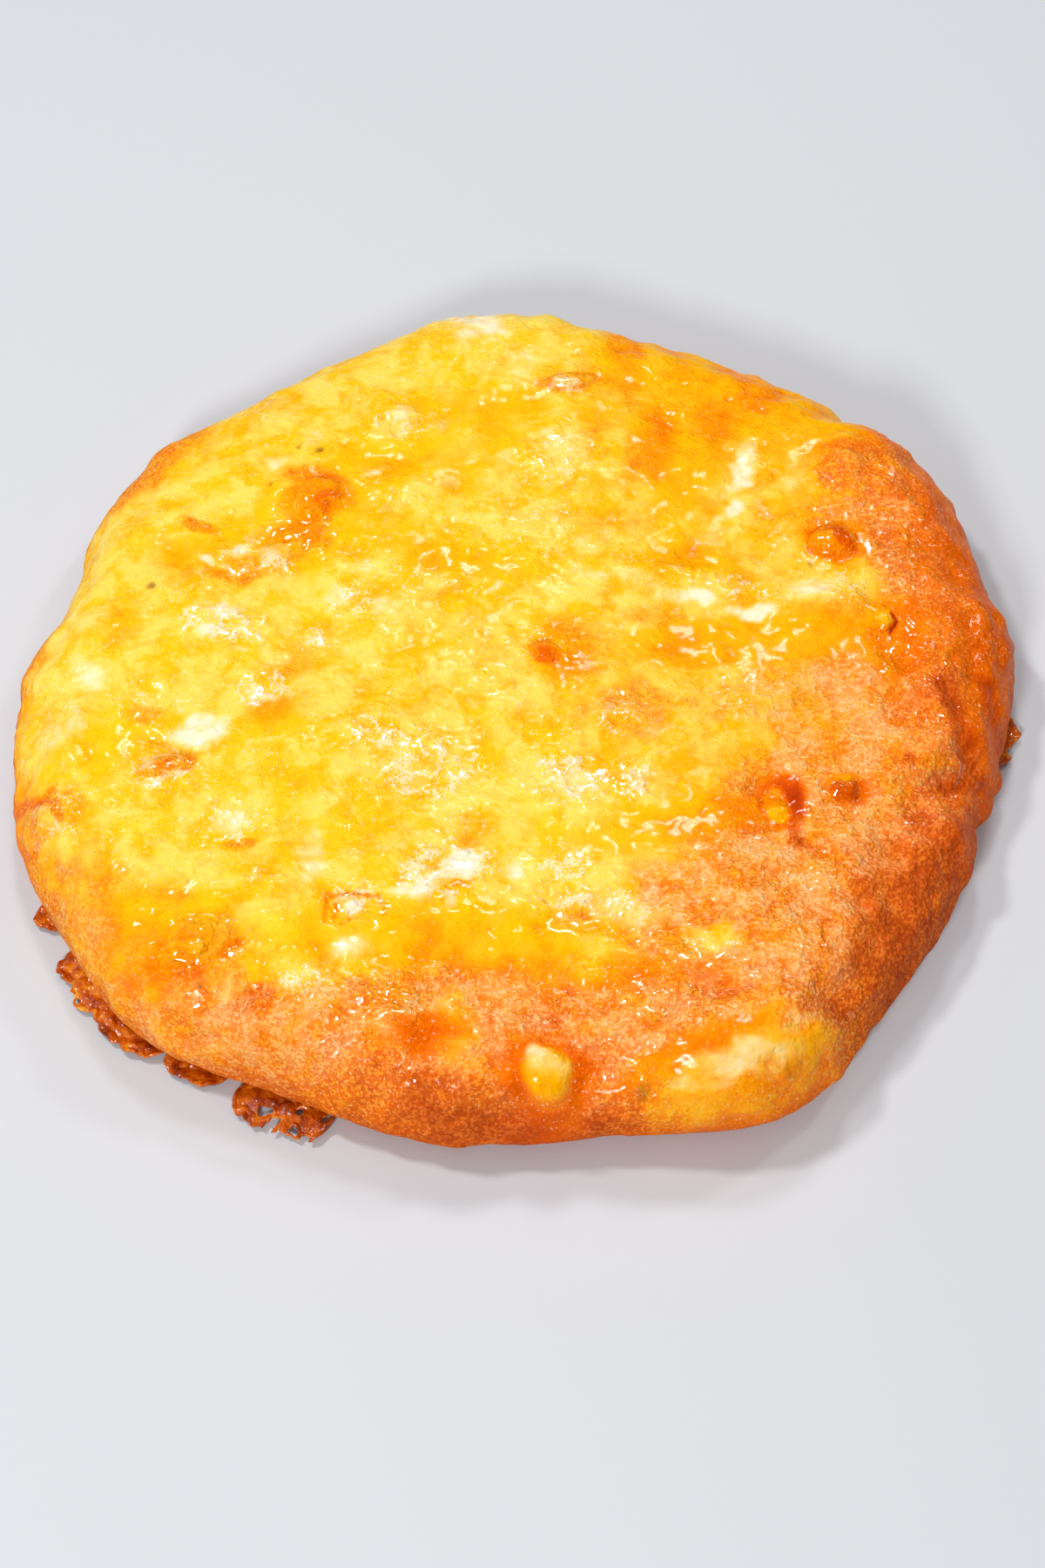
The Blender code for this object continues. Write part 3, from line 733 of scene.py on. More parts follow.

# pale cheese that stayed white, with painted highlights and painted sheen where so named: place, length,
# width, turn, strength and soft edge in percent
palePatches = {
    "white chunk": (-34.8, -10.6, 6.8, 4.6, 12, 95, 40),
    # these four: painted highlight on the left rim, and painted sheen beside it and at the back left
    "left rim painted highlight": (-51, -9, 6, 6, 0, 60, 60),
    "left rim painted highlight, high": (-48, -2.5, 6, 5, 0, 55, 70),
    "left painted sheen": (-49, 4, 9, 22, 0, 36, 80),
    "back left painted sheen": (-33, 41, 34, 13, 32, 8, 80),
    "back peak": (-5, 52, 9, 10, 0, 85, 60),
    "back middle": (0.5, 45, 6, 10, 0, 50, 70),
    "left of blister": (-43, 23, 9, 9, 0, 25, 80),
    "behind blister": (-24, 32, 5, 3, 10, 70, 60),
    "behind blister, left": (-28.5, 28.4, 4, 3, 0, 55, 60),
    "back flake": (-14, 36.3, 4, 3, 0, 60, 60),
    "back flake, right": (-9, 34, 3.4, 2.4, 20, 60, 60),
    "back flake, low": (-13, 33, 3, 2, 20, 55, 60),
    "diagonal flake": (-17, 26, 4, 1.6, 35, 60, 60),
    "pale blister": (-31.8, 15.2, 4.6, 1.8, 30, 75, 60),
    "pale blister, left": (-35.4, 13.9, 3.4, 1.6, -30, 75, 60),
    "middle flake": (-20, 8.2, 5, 3, 10, 60, 60),
    "middle flake, high": (-17, 12.5, 3, 2.4, 0, 50, 60),
    "middle flake, low": (-15, 6, 4, 3, 0, 50, 60),
    "white flakes": (-33, 6, 4, 2.6, 0, 70, 60),
    "white flakes, low": (-34.5, 2.8, 4.4, 2, -20, 75, 60),
    "white flakes, end": (-31, 0.8, 2.4, 1.4, -20, 80, 60),
    "wrinkled ring": (-23, 2, 3.4, 2.4, 0, 45, 60),
    "strand": (-2.6, 8.8, 4.2, 1.3, 28, 95, 50),
    "middle pale": (-3, 3, 10, 6, 0, 18, 80),
    "pale middle right": (8, 17, 8, 9, -30, 45, 80),
    # painted sheen
    "back painted sheen": (5.5, 30, 8, 10, 0, 40, 80),
    "back white spots": (3.6, 33, 2.4, 2, 0, 60, 60),
    "flake line": (9.4, 26.6, 1.3, 4, 10, 50, 70),
    "leaning patch": (26.2, 27.5, 3, 8.5, -14, 90, 45),
    "leaning patch, foot": (24.2, 20.6, 5, 2, 48, 90, 50),
    "right of leaning patch": (32, 26, 4, 7, 0, 45, 80),
    "crease, left end": (7.5, 11.6, 6, 1.8, -12, 65, 60),
    "crease, left": (13, 10.5, 7, 2.6, -25, 60, 70),
    "crease, middle": (19, 8.2, 8, 2.4, -12, 72, 60),
    "crease, bright": (26.8, 6.4, 6.4, 3, 6, 100, 40),
    "crease, right": (33, 9.2, 9, 3.4, 12, 55, 60),
    "crease, upper right": (38, 12.4, 5, 4, 40, 20, 80),
    "chunk side": (-28.2, -5.4, 3, 2, 0, 60, 60),
    # painted sheen, in these two
    "squiggle painted sheen": (-15.5, -15, 5, 12, 8, 22, 80),
    "squiggle painted sheen, right": (-7, -13, 10, 7, 0, 5, 80),
    "cream bubble": (5, -17, 4.4, 4.2, 0, 70, 50),
    "cream spot": (20, -16.3, 2.6, 1.6, 0, 70, 50),
    "pale strip": (-22, -27, 3, 8, -4, 75, 50),
    "pale wrinkle": (-31, -23, 6.5, 3.6, 5, 70, 60),
    # painted sheen
    "wide painted sheen": (-24, -20, 24, 12, 0, 5, 90),
    "strand head": (-6.4, -28, 5, 2.6, 22, 100, 40),
    "strand middle": (-9.6, -30.6, 5, 2.2, 32, 90, 50),
    "strand tail": (-12.4, -31.2, 3.4, 1.8, 10, 80, 50),
    "strand leg": (-7.6, -32.6, 1.8, 2.6, 0, 80, 50),
    "right of strand": (-1.5, -28.4, 5, 3, -15, 60, 70),
    "curd": (-17.3, -33.5, 2.4, 2.4, 10, 95, 25),
    "pale triangle": (-18, -38.4, 5.4, 3, 22, 65, 60),
    "front pale spot": (-9, -41, 4, 2, 0, 45, 70),
    "pale front strip": (-31, -43.4, 1.8, 5, -30, 42, 60),
    "front wrinkles": (9, -33, 12, 5, -12, 50, 80),
    "front pale yellow": (18.5, -36.8, 3, 4, 0, 45, 70),
    "nugget": (2.8, -50.9, 4.2, 3.6, 0, 62, 60),
    "roll": (22.6, -51.2, 15, 3.6, 19, 50, 40),
    "roll, right": (28.6, -47.2, 6, 1.8, 28, 50, 50),
    "roll, left end": (17.6, -52.8, 6, 2.4, 10, 55, 50),
    "below dark dome": (35, -20.2, 2.8, 0.8, 0, 50, 60),
}

# peach skin on the browned crust, partly the dried skin's own colour and partly painted sheen: place,
# length, width, turn, strength and soft edge in percent
peachPatches = {
    "right": (32, -8, 24, 20, 0, 100, 60),
    "lower right": (25, -31, 38, 22, 42, 100, 50),
    "front": (-2, -46, 52, 9, -2, 100, 60),
    "front, left": (-26, -46, 20, 7, -16, 80, 60),
    "front, under nugget": (0, -51, 26, 6, 0, 50, 60),
    "right of caramel dome": (44, 14, 12, 24, 10, 50, 70),
    "right rim": (50, -14, 16, 20, 0, 40, 70),
    "browned freckles": (12, -8, 11, 10, 0, 30, 60),
    "left front rim": (-42, -38, 36, 10, -50, 50, 70),
}

# clear amber, where oil soaked in: place, length, width, turn, strength and soft edge in percent
amberPatches = {
    "amber blister": (-24, 20, 11, 16, -18, 100, 50),
    "left of blister": (-35, 15, 16, 9, 15, 60, 70),
    "back band": (-13, 29, 20, 8, 12, 75, 80),
    "upper back band": (-5, 37, 18, 9, 8, 70, 80),
    "back right": (30, 44, 44, 26, -15, 100, 50),
    "back streak": (13, 52, 7, 22, 0, 90, 60),
    "orange column": (18, 31, 12, 20, 0, 90, 60),
    "below crease": (26, 2.2, 32, 7, 4, 100, 40),
    "middle": (-7, 4, 20, 9, 5, 40, 80),
    "beside crease": (19.5, 13.8, 7, 5, 0, 90, 60),
    "middle back arc": (-6, 13, 22, 6, -10, 80, 70),
    "middle dome": (4.5, 0, 7, 8, 0, 90, 50),
    "left middle": (-45, 5.5, 6, 6, 0, 60, 70),
    "left low": (-45, -11, 14, 8, -10, 70, 70),
    "beside chunk": (-27, -9, 9, 6, 0, 60, 70),
    "left rim low": (-54, -18, 8, 12, 20, 60, 70),
    "below strand": (-9, -36.5, 44, 9, 0, 90, 60),
    "front left": (-36, -36, 18, 12, -40, 80, 70),
    "front ledge": (10, -41, 26, 5, 0, 70, 70),
    "right ledge": (17, -22.5, 26, 6, 14, 90, 60),
    "front roll": (25, -52.5, 22, 8, 28, 60, 50),
    "behind roll": (19, -49.6, 20, 3, 22, 85, 50),
    "right rim": (58, 10, 30, 90, 0, 60, 50),
    "caramel dome": (36, 16, 8, 7, 0, 100, 40),
    "round chip": (42, 3, 8, 12, 0, 90, 50),
    "dark dome": (35.4, -17.6, 5.4, 4.4, 0, 90, 50),
    "crater": (28.6, -19.4, 6, 8, 0, 100, 30),
    "front band, left": (-9, -48, 9, 5, 0, 80, 60),
    "nugget": (3, -52, 10, 9, 0, 90, 50),
}

# how the paint is put on: browning from 0 to 1, heights and widths in millimetres
painting = {
    "strokes": (7.2, 11),   # narrower ones keep their shape, and the edges of wider ones wander far
    "plainCheese": 0.31,
    "hollowShadeTint": 0.34,   # browning gained for each millimetre down, partly oil pooled in the hollows and partly painted shade
    "bumpLightTint": 0.12,     # and lost for each millimetre up, partly paler curd tops and partly painted light
    "tinted": (0.75, 0.5),   # browning at which these two start to count, and count in full
    # the side is browner low down and the foot browner still, partly fried browning and partly painted
    # shade
    "side": 0.57,
    "sideEdge": (9.5, 4.5),
    "foot": 0.84,
    "footShare": 0.8,
    "footEdge": (8.5, 1.5),
    "underside": 0.66,
    "undersideEnds": 0.05,
    "paleShare": 0.92,
    "paleTone": 0.34,     # browning under pale cheese
    "lineEdge": (1.2, 0.4),
    "fleckEdge": (1.4, 0.3),
    "moatShade": 0.2,      # painted shade: the grooves round blisters are browner too
}

# how far the edges of wide strokes wander: reach, size and shift of each layer
nearDrift = ((1.0, 3.1, 0), (0.5, 1.2, 2), (0.2, 0.6, 0))
wideDrift = ((2.6, 11.0, 0), (1.4, 4.5, 2))


def drifted(points, places, layers, shifts):
    return tuple(place + sum(reach * grain(points, size, shift + extra) for reach, size, extra in layers)
                 for place, shift in zip(places, shifts))


def brushed(field, strokes, close, near, wide):
    narrow, broad = painting["strokes"]
    for *oval, value, edge in strokes:
        size = min(oval[2:4])
        places = close if size < narrow else near if size < broad else wide
        distance = ovalDistance(*places, *oval)
        share = softStep(distance, 1.0 + percent * edge, 1.0 - percent * edge)
        field = field + (percent * value - field) * share
    return field


def colorBun(piece, fine):
    mesh = piece.data
    points = readPoints(mesh) / mm
    x, y, z = points.T
    close = unevenPlace(points)
    near = drifted(points, (x, y), nearDrift, (41, 47))
    wide = drifted(points, near, wideDrift, (53, 59))

    browned = painting["plainCheese"] + wave(points, "tone")
    browned = brushed(browned, (*brownedZones.values(), *brownedPatches.values()), close, near, wide)
    for start, end, width, value in brownedLines.values():
        share = softStep(lineDistance(*close, start, end) / width, *painting["lineEdge"])
        browned += np.maximum(percent * value - browned, 0.0) * share
    browned += wave(points, "small tone") + wave(points, "fine tone")
    # painted shade browns the hollows and painted light pales the bumps, along with oil pooled in the
    # hollows and paler curd tops
    reliefShadeTint = np.where(fine < 0.0, painting["hollowShadeTint"], painting["bumpLightTint"])
    browned -= reliefShadeTint * fine * softStep(browned, *painting["tinted"])
    # the side is browner low down and the foot browner still, partly fried browning and partly painted
    # shade
    side = painting["side"] * softStep(z, *painting["sideEdge"]) + wave(points, "side")
    browned = np.maximum(browned, side)
    foot = painting["footShare"] * softStep(z, *painting["footEdge"])
    browned += np.maximum(painting["foot"] - browned, 0.0) * foot
    underside = painting["underside"] + wave(points, "underside") + wave(points, "fine underside")
    browned = np.where(z < painting["undersideEnds"], underside, browned)

    pale = np.zeros(len(points))
    for *oval, value, edge in palePatches.values():
        share = softStep(ovalDistance(*near, *oval), 1.1 + percent * edge, 0.9 - percent * edge)
        pale = np.maximum(pale, painting["paleShare"] * percent * value * share)
    pale *= (1.0 + wave(points, "pale") + wave(points, "fine pale")) * softStep(z, *bun["crownFrom"])
    paint(mesh, "pale", pale)
    browned += np.minimum(painting["paleTone"] - browned, 0.0) * np.clip(2.0 * pale - 0.6, 0.0, 1.0)
    paint(mesh, "browned", browned)

    uneven = 1.0 + wave(points, "amber and peach")
    for name, patches in (("amber", amberPatches), ("peach", peachPatches)):
        share = np.zeros(len(points))
        for stroke in patches.values():
            share = np.maximum(share, brushed(0.0, (stroke,), close, near, wide))
        paint(mesh, name, share * uneven)

    fleck = np.zeros(len(points))
    for middleX, middleY, size, strength in flecks.values():
        distance = ovalDistance(*close, middleX, middleY, size, size, 0)
        share = softStep(distance, *painting["fleckEdge"])
        fleck = np.maximum(fleck, percent * strength * share)
    paint(mesh, "fleck", fleck)


# the grooves round the blisters count as hollows here, for painted shade
colorBun(crust, crustFine - painting["moatShade"] * crustMoat)
print("the crust is painted")


# materials

def feed(tree, socket, value):
    # a plain value is set on the socket, and another node's output is linked to it
    if isinstance(value, bpy.types.NodeSocket):
        tree.links.new(value, socket)
    else:
        socket.default_value = value


def addNode(tree, kind, **values):
    node = tree.nodes.new(kind)
    for name, value in values.items():
        if name in node.inputs.keys():
            feed(tree, node.inputs[name], value)
        else:
            setattr(node, name, value)
    return node


def mathNode(tree, operation, *values, clamp=False):
    node = addNode(tree, "ShaderNodeMath", operation=operation, use_clamp=clamp)
    for socket, value in zip(node.inputs, values):
        feed(tree, socket, value)
    return node.outputs["Value"]


def timesNode(tree, first, *others):
    for other in others:
        first = mathNode(tree, "MULTIPLY", first, other)
    return first


def bentPlace(tree, place, color, reach):
    # the place, pushed about by the colour of a noise
    node = addNode(tree, "ShaderNodeVectorMath", operation="MULTIPLY_ADD")
    for socket, value in zip(node.inputs, (color, reach, place)):
        feed(tree, socket, value)
    return node.outputs["Vector"]


def noiseNode(tree, place, size, detail, roughness=0.5, distortion=0.0):
    # soft noise in waves of this size in millimetres
    return addNode(tree, "ShaderNodeTexNoise", Vector=place, Scale=1.0 / (size * mm), Detail=detail,
                   Roughness=roughness, Distortion=distortion)


def stepNode(tree, value, low, high):
    limits = {"From Min": low, "From Max": high}
    node = addNode(tree, "ShaderNodeMapRange", interpolation_type="SMOOTHSTEP", Value=value, **limits)
    return node.outputs["Result"]


def mixColors(tree, share, first, second):
    node = addNode(tree, "ShaderNodeMix", data_type="RGBA")
    for place, value in ((0, share), (6, first), (7, second)):
        feed(tree, node.inputs[place], value)
    return node.outputs[2]


def colorRamp(tree, share, stops):
    node = addNode(tree, "ShaderNodeValToRGB", Fac=share)
    ramp = node.color_ramp
    places = sorted(stops)
    while len(ramp.elements) < len(places):
        ramp.elements.new(0.5)
    for element, place in zip(ramp.elements, places):
        element.position = place
        element.color = picked(*stops[place])
    return node.outputs["Color"]


# the skin of fried cheese: waves in one grain size and detail of each noise
grainWaves = {"Mottle": (1.0, 4.0), "Grain": (3.4, 1.5), "Specks": (8.0, 1.0)}
bubbleSkin = {
    "waves": 5.0,
    "bend": 0.22,             # of the grain size, so that the bubbles aren't regular
    "dome": (0.75, 0.10),     # from a bubble's edge to its top
    "least": 0.4,             # height of the lowest bubble beside the highest
}


def makeGrainGroup():
    # soft mottling, grain, fine specks and small round bubbles
    group = bpy.data.node_groups.new("skinGrain", "ShaderNodeTree")
    group.interface.new_socket("Size", in_out="INPUT", socket_type="NodeSocketFloat")
    for name in (*grainWaves, "Bubbles"):
        group.interface.new_socket(name, in_out="OUTPUT", socket_type="NodeSocketFloat")
    size = group.nodes.new("NodeGroupInput").outputs["Size"]
    end = group.nodes.new("NodeGroupOutput")
    place = addNode(group, "ShaderNodeTexCoord").outputs["Object"]
    noises = {}
    for name, (waves, detail) in grainWaves.items():
        noises[name] = addNode(group, "ShaderNodeTexNoise", Vector=place, Detail=detail, Roughness=0.6,
                               Scale=mathNode(group, "DIVIDE", waves, size))
        feed(group, end.inputs[name], noises[name].outputs["Fac"])
    reach = mathNode(group, "MULTIPLY", size, bubbleSkin["bend"])
    cells = addNode(group, "ShaderNodeTexVoronoi", feature="F1",
                    Vector=bentPlace(group, place, noises["Grain"].outputs["Color"], reach),
                    Scale=mathNode(group, "DIVIDE", bubbleSkin["waves"], size))
    shade = addNode(group, "ShaderNodeSeparateColor", Color=cells.outputs["Color"]).outputs["Red"]
    height = mathNode(group, "MULTIPLY_ADD", shade, 1.0 - bubbleSkin["least"], bubbleSkin["least"])
    dome = stepNode(group, cells.outputs["Distance"], *bubbleSkin["dome"])
    feed(group, end.inputs["Bubbles"], timesNode(group, dome, height))
    return group


grainGroup = makeGrainGroup()


def startMaterial(name, grainSize, constants):
    # a material with its constants and the shared grain
    material = bpy.data.materials.new(name)
    material.use_nodes = True
    tree = material.node_tree
    shader = tree.nodes["Principled BSDF"].inputs
    for socket, value in constants.items():
        shader[socket].default_value = value
    skin = addNode(tree, "ShaderNodeGroup", node_tree=grainGroup)
    skin.inputs["Size"].default_value = grainSize * mm
    return material, tree, shader, {socket.name.lower(): socket for socket in skin.outputs}


def addBump(tree, shader, height, depth):
    bump = addNode(tree, "ShaderNodeBump", Strength=1.0, Distance=depth * mm, Height=height)
    feed(tree, shader["Normal"], bump.outputs["Normal"])


crustColors = {
    0.00: (255, 232, 125),
    0.15: (255, 218, 76),
    0.30: (255, 198, 20),
    0.42: (255, 181, 10),
    0.54: (253, 160, 6),
    0.64: (248, 138, 5),
    0.75: (234, 112, 4),
    0.85: (208, 86, 2),
    0.93: (172, 60, 0),
    1.00: (126, 40, 0),
}
amberColors = {
    0.20: (255, 206, 4),
    0.42: (255, 182, 0),
    0.56: (253, 148, 0),
    0.70: (238, 107, 0),
    0.85: (203, 66, 0),
    1.00: (130, 34, 0),
}
paleColor = picked(252, 237, 207)
creamColor = picked(255, 223, 104)
# near-white of the painted glints on the oil drops and wrinkle crests
paintedGlintWhite = picked(253, 239, 204)
# pale peach of the painted glints on the browned crust
paintedGlintColor = picked(255, 226, 184)
# peach of the dried skin, also used for painted sheen on it
peachColor = picked(255, 196, 138)
fleckColor = picked(120, 76, 20)

# the crust's noises: size of a wave in millimetres, detail, roughness, distortion
crustNoises = {
    "streaks": (1.0, 4.0, 0.66, 0.4),
    "film": (4.2, 5.0, 0.62, 0.4),
    "ripples": (1.3, 1.5, 0.5, 0.6),
}
crustLook = {
    "grainSize": 2.4,
    "swirl": (12.0, 1.0),       # size and detail of the noise that bends the others
    "swirlReach": 3.0,
    "patchLift": -0.15,         # peach patches are lighter, partly painted sheen
    "thickShare": 0.95,
    "paintedGlintShare": 0.55,
    "fleckShare": 0.8,
    "oilAbove": (2.0, 10.0),    # height in millimetres at which oil starts and is full
    "bumpDepth": 0.30,
}
crustConstants = {
    "Coat Roughness": 0.09,
    "Coat IOR": 1.7,
    "Specular IOR Level": 0.02,
    "Subsurface Weight": 0.35,
    "Subsurface Radius": (1.0, 0.38, 0.10),
    "Subsurface Scale": 1.6 * mm,
}

# masks that step up softly: what they follow, where they start and where they are full
crustSteps = {
    "dull": ("amber", 0.75, 0.20),
    "baked": ("browned", 0.40, 0.58),
    "yellow": ("browned", 0.54, 0.32),
    "unburnt": ("browned", 1.05, 0.65),
    # lighter bubble tops, partly painted sheen
    "light": ("crumb", 0.42, 0.60),
    "patchy": ("patches", 0.42, 0.58),
    "dryAndSheenEnds": ("browned", 0.86, 0.72),
    "thin": ("film", 0.41, 0.62),
    "thick": ("brokenFilm", 0.10, 1.00),
    # the oil drops, which also carry the painted glints
    "dropsAndGlints": ("dots", 0.590, 0.645),
    "raw": ("browned", 0.56, 0.38),
    "ridged": ("wrinkled", 0.15, 0.45),
    # painted glints: tiny pale specks on the browned crust
    "paintedGlints": ("specks", 0.66, 0.72),
    "paintedGlintsStart": ("browned", 0.46, 0.60),
    "paintedGlintsEnd": ("browned", 0.88, 0.72),
}

# masks that are sums of others: the weight of each, added to a base
crustSums = {
    "crumb": {"bubbles": 0.25, "specks": 0.30, "grain": 0.45, "streaks": 0.10},
    "patches": {"mottle": 0.5, "film": 0.5},
    "drift": {"mottle": 0.9, "streaks": 0.8, "light": -0.55, "base": -0.575},
    "coarse": {"crisp": 0.25, "dryAndSheen": -0.08, "wrinkled": 0.08, "base": 0.09},
    "coarseInAmber": {"amber": -0.35, "base": 1.0},
    "filmInAmber": {"dull": 0.70, "base": 0.08},
    "filmBreaks": {"film": 2.6, "base": -0.3},
    "tops": {"light": 0.65, "base": 0.35},
    "peachShare": {"crisp": 0.06, "dryAndSheen": 0.86},
    "dots": {"specks": 0.45, "grain": 0.25, "streaks": 0.30, "wrinkled": 0.05, "crests": 0.12},
    # painted glints gather on the wrinkle crests and fade in clear amber
    "paintedGlintsOnRidges": {"ridged": 0.60, "base": 0.40},
    "paintedGlintsInAmber": {"dull": 0.64, "base": 0.04},
    "rough": {"crisp": 0.20, "grain": 0.3, "base": 0.21},
    "oil": {"crisp": 0.40, "wrinkled": 1.2},
    "oilOnDrops": {"dropsAndGlints": 0.90, "base": 0.04},
    "oilInAmber": {"amber": 0.14, "base": 0.02},
    "rippleHeight": {"wrinkled": 1.2, "base": 0.6},
    "grainHeight": {"wrinkled": 0.5, "base": 0.5},
    "crumbHeight": {"crisp": 1.2, "base": 0.3},
}


def makeCrustMaterial():
    material, tree, shader, masks = startMaterial("bakedCheese", crustLook["grainSize"], crustConstants)

    def times(first, *others):
        return timesNode(tree, first, *others)

    def step(name):
        source, low, high = crustSteps[name]
        masks[name] = stepNode(tree, masks[source], low, high)
        return masks[name]

    def weighed(name, clamp=False):
        weights = dict(crustSums[name])
        masks[name] = weights.pop("base", 0.0)
        for source, weight in weights.items():
            masks[name] = mathNode(tree, "MULTIPLY_ADD", masks[source], weight, masks[name], clamp=clamp)
        return masks[name]

    for name in ("browned", "pale", "peach", "amber", "fleck", "wrinkled", "crests"):
        masks[name] = addNode(tree, "ShaderNodeAttribute", attribute_name=name).outputs["Fac"]
    place = addNode(tree, "ShaderNodeTexCoord").outputs["Object"]

    # noise that runs in short streaks, bent by a slow swirl
    swirl = noiseNode(tree, place, *crustLook["swirl"]).outputs["Color"]
    reach = crustLook["swirlReach"] * mm
    swirled = bentPlace(tree, place, swirl, (reach, reach, 0.0))
    for name, look in crustNoises.items():
        masks[name] = noiseNode(tree, swirled, *look).outputs["Fac"]

    # fried grain: each tiny bubble's top is lighter, partly its own colour and partly painted sheen, and
    # the pores between them are darker
    masks["crisp"] = times(step("baked"), step("dull"))
    masks["dryAndSheen"] = times(masks["peach"], masks["crisp"])
    weighed("crumb")
    step("light")
    weighed("patches")
    patchy = step("patchy")
    coarse = times(weighed("coarse"), weighed("coarseInAmber"), step("unburnt"))
    tone = mathNode(tree, "MULTIPLY_ADD", weighed("drift"), coarse, masks["browned"])
    # painted sheen: the peach patches are lighter
    lift = times(patchy, crustLook["patchLift"])
    tone = mathNode(tree, "MULTIPLY_ADD", masks["dryAndSheen"], lift, tone, clamp=True)
    masks["dryAndSheen"] = times(masks["dryAndSheen"], patchy, step("dryAndSheenEnds"))
    plain, clear = (colorRamp(tree, tone, colors) for colors in (crustColors, amberColors))
    color = mixColors(tree, masks["amber"], plain, clear)

    # a thin pale film breaks up over the yellow cheese, and thickens where it stayed white
    thin = times(step("thin"), step("yellow"), weighed("filmInAmber"))
    color = mixColors(tree, thin, color, creamColor)
    masks["brokenFilm"] = times(masks["pale"], weighed("filmBreaks"))
    thick = step("thick")
    whiteCheeseAndGlints = mixColors(tree, thick, creamColor, paleColor)
    color = mixColors(tree, times(thick, crustLook["thickShare"]), color, whiteCheeseAndGlints)

    # the bubbles' tops are peach where the dried skin stayed, partly its own colour and partly painted
    # sheen, and near-white painted glints sit where the skin is wrinkled
    color = mixColors(tree, times(weighed("tops"), weighed("peachShare")), color, peachColor)
    weighed("dots")
    step("ridged")
    # painted glints: near-white specks on the oil drops, most of them on the wrinkle crests
    whiteCheeseAndGlints = times(step("dropsAndGlints"), step("raw"), weighed("paintedGlintsOnRidges"), weighed("paintedGlintsInAmber"))
    color = mixColors(tree, whiteCheeseAndGlints, color, paintedGlintWhite)
    # painted glints: tiny pale specks over the browned crust
    paintedGlints = times(step("paintedGlints"), step("paintedGlintsStart"), step("paintedGlintsEnd"), crustLook["paintedGlintShare"])
    color = mixColors(tree, paintedGlints, color, paintedGlintColor)
    color = mixColors(tree, times(masks["fleck"], crustLook["fleckShare"]), color, fleckColor)
    feed(tree, shader["Base Color"], color)
    feed(tree, shader["Roughness"], weighed("rough", clamp=True))

    # drops of oil stand on the wrinkles and round the grains
    oil = times(weighed("oil"), weighed("oilOnDrops"))
    oil = mathNode(tree, "ADD", oil, weighed("oilInAmber"), clamp=True)
    level = addNode(tree, "ShaderNodeSeparateXYZ", Vector=place).outputs["Z"]
    lowest, full = crustLook["oilAbove"]
    feed(tree, shader["Coat Weight"], times(oil, stepNode(tree, level, lowest * mm, full * mm)))

    # skin too fine for the mesh: wrinkles, bubbles and grain
    height = times(masks["ripples"], weighed("rippleHeight"))
    for name in ("grain", "crumb"):
        height = mathNode(tree, "MULTIPLY_ADD", masks[name], weighed(name + "Height"), height)
    addBump(tree, shader, height, crustLook["bumpDepth"])
    return material


crust.data.materials.append(makeCrustMaterial())
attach(crust, "root")
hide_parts("cheese_bun")
print("the crust has its material")


# frills of crisp fried cheese round the foot: first and last bearing in degrees; reach past the rim and
# root under the bun in millimetres; how swollen it is, how wide bubbles are broken, shift of the noise
frills = {
    "leftCrumb": (205.0, 209.0, 0.8, 3.0, 0.5, 0.0, 1.0),
    "longFrill": (212.0, 229.0, 1.4, 3.6, 0.9, 0.25, 6.0),
    "shortFrill": (229.3, 236.5, 1.1, 3.4, 0.7, 0.2, 12.0),
    "largeFrill": (238.2, 249.4, 3.2, 4.0, 0.8, 0.3, 20.0),
    "rightFrill": (353.5, 361.5, 1.1, 3.4, 0.6, 0.2, 31.0),
}
frillSkin = {
    "cell": 0.24,            # of the grid, in millimetres
    "bubble": 1.35,          # across a bubble
    "bubbleRise": 0.45,      # of a bubble above the hollows round it, before its wave is added
    "swelling": 0.45,        # likewise of a frill that is fully swollen
    "bubbleEdge": 0.6,       # share of a bubble over which it rises
    "taper": 1.6,            # length over which its ends grow narrow
    "endShare": 0.55,        # of its depth that is left at its ends
    "wall": 0.38,
    "lift": 0.30,            # of the lowest point above the floor
    "holesFrom": 0.4,        # inside the rim
    "clearance": 0.05,       # between the finished skin and the floor
}
frillConstants = {
    "Specular IOR Level": 0.25,
    "Coat Weight": 0.7,
    "Coat Roughness": 0.07,
    "Subsurface Weight": 0.12,
    "Subsurface Radius": (1.0, 0.3, 0.08),
    "Subsurface Scale": 1.0 * mm,
}
frillLook = {
    "grainSize": 1.8,
    "contrast": 2.2,
    "colors": {0.0: (112, 34, 0), 0.35: (168, 64, 0), 0.65: (212, 104, 6), 1.0: (250, 176, 36)},
    "rough": (0.3, 0.08),    # what the grain adds, and the least
    "bumpDepth": 0.12,
}


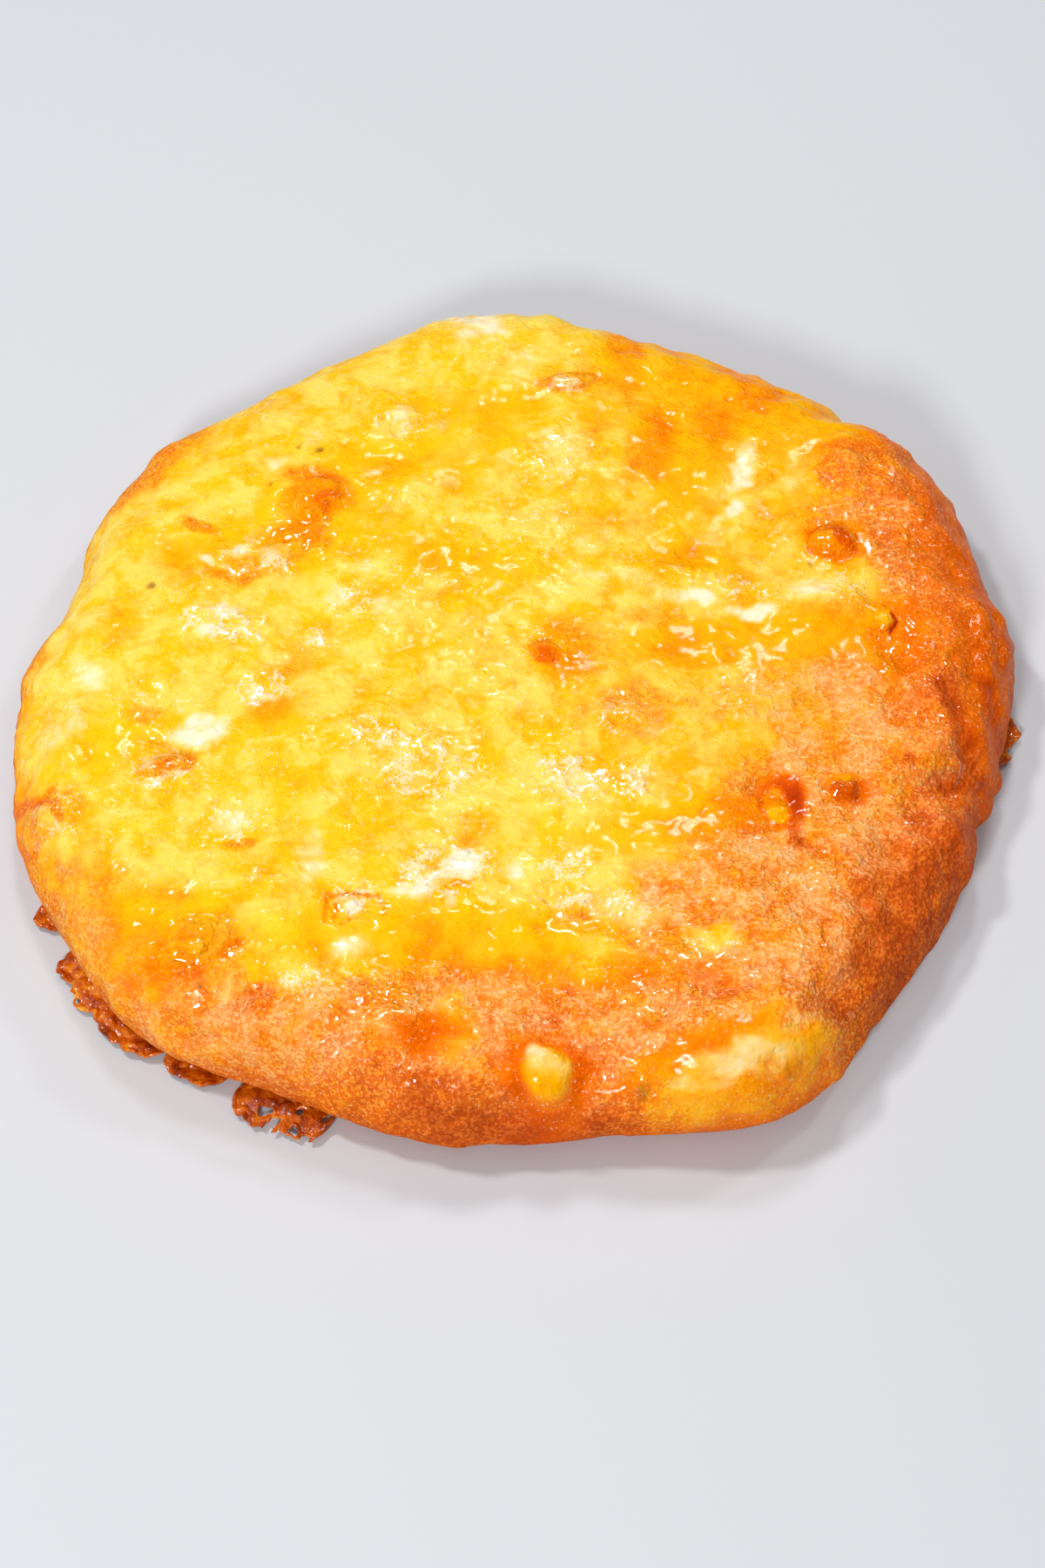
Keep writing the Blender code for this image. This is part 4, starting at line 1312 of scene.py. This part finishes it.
def makeFrill(name, first, last, reach, root, swelling, holes, shift):
    arc = radians(last - first) * bun["radius"]
    deep = root + reach
    cell, lift = frillSkin["cell"], frillSkin["lift"]
    deselectAll()
    bpy.ops.mesh.primitive_grid_add(x_subdivisions=int(arc / cell), y_subdivisions=int(deep / cell),
                                    size=2.0, location=(0, 0, 0))
    piece = bpy.context.object
    piece.name = name
    flat = readPoints(piece.data)
    along, out = 0.5 * (1.0 + flat[:, 0]), 0.5 * (1.0 + flat[:, 1])
    bearing = first + (last - first) * along
    turn = np.radians(bearing)
    spot = np.stack([turn * bun["radius"], out * deep, np.full(len(flat), shift)], axis=1)
    tapered = np.sqrt(np.clip(np.minimum(along, 1.0 - along) * arc / frillSkin["taper"], 0.0, 1.0))
    edge = spot * (1, 0, 1)
    torn = wave(edge, "torn edge") + wave(edge, "fine torn edge")
    length = deep * (frillSkin["endShare"] + (1.0 - frillSkin["endShare"]) * tapered) + torn * tapered
    radius = rimRadius(bearing) - root + out * length
    cells = [noise.voronoi(Vector(p), distance_metric="DISTANCE")[0] for p in spot / frillSkin["bubble"]]
    nearest, second = np.array(cells).T[:2]
    swollen = np.clip(second - nearest, 0.0, frillSkin["bubbleEdge"]) / frillSkin["bubbleEdge"]
    height = lift + swollen * (frillSkin["bubbleRise"] + wave(spot, "frill bubbles"))
    height += swelling * (frillSkin["swelling"] + wave(spot, "frill swell")) + wave(spot, "frill grain")
    place = np.stack([radius * np.cos(turn), radius * np.sin(turn), np.maximum(height, lift)], axis=1)
    writePoints(piece.data, place * mm)

    # broken bubbles leave holes, but only past the rim
    outside = out * deep > root - frillSkin["holesFrom"]
    broken = (nearest < holes) & (wave(spot, "frill holes") > 0.0) & outside
    mesh = bmesh.new()
    mesh.from_mesh(piece.data)
    mesh.verts.ensure_lookup_table()
    bmesh.ops.delete(mesh, geom=[mesh.verts[i] for i in np.nonzero(broken)[0].tolist()], context="VERTS")
    bmesh.ops.delete(mesh, geom=[v for v in mesh.verts if not v.link_faces], context="VERTS")
    mesh.to_mesh(piece.data)
    mesh.free()

    wall = piece.modifiers.new("wall", "SOLIDIFY")
    wall.thickness = frillSkin["wall"] * mm
    wall.offset = 0.0
    soft = piece.modifiers.new("soft", "SUBSURF")
    soft.levels = soft.render_levels = 1
    applyModifiers(piece)
    points = readPoints(piece.data) / mm
    crisp = wave(points, "crisp skin") + wave(points, "fine crisp skin")
    points += readNormals(piece.data) * crisp[:, None]
    points[:, 2] = np.maximum(points[:, 2], frillSkin["clearance"])
    writePoints(piece.data, points * mm)
    piece.data.shade_smooth()
    return piece


def makeFrillMaterial():
    material, tree, shader, masks = startMaterial("friedCheese", frillLook["grainSize"], frillConstants)
    contrast = frillLook["contrast"]
    tone = mathNode(tree, "MULTIPLY_ADD", masks["mottle"], contrast, 0.5 - 0.5 * contrast, clamp=True)
    feed(tree, shader["Base Color"], colorRamp(tree, tone, frillLook["colors"]))
    feed(tree, shader["Roughness"], mathNode(tree, "MULTIPLY_ADD", masks["grain"], *frillLook["rough"]))
    addBump(tree, shader, masks["specks"], frillLook["bumpDepth"])
    return material


frillMaterial = makeFrillMaterial()
for frillName, setup in frills.items():
    frill = makeFrill(frillName, *setup)
    frill.data.materials.append(frillMaterial)
    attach(frill, "root")
    print(frillName, "has", len(frill.data.polygons), "faces")
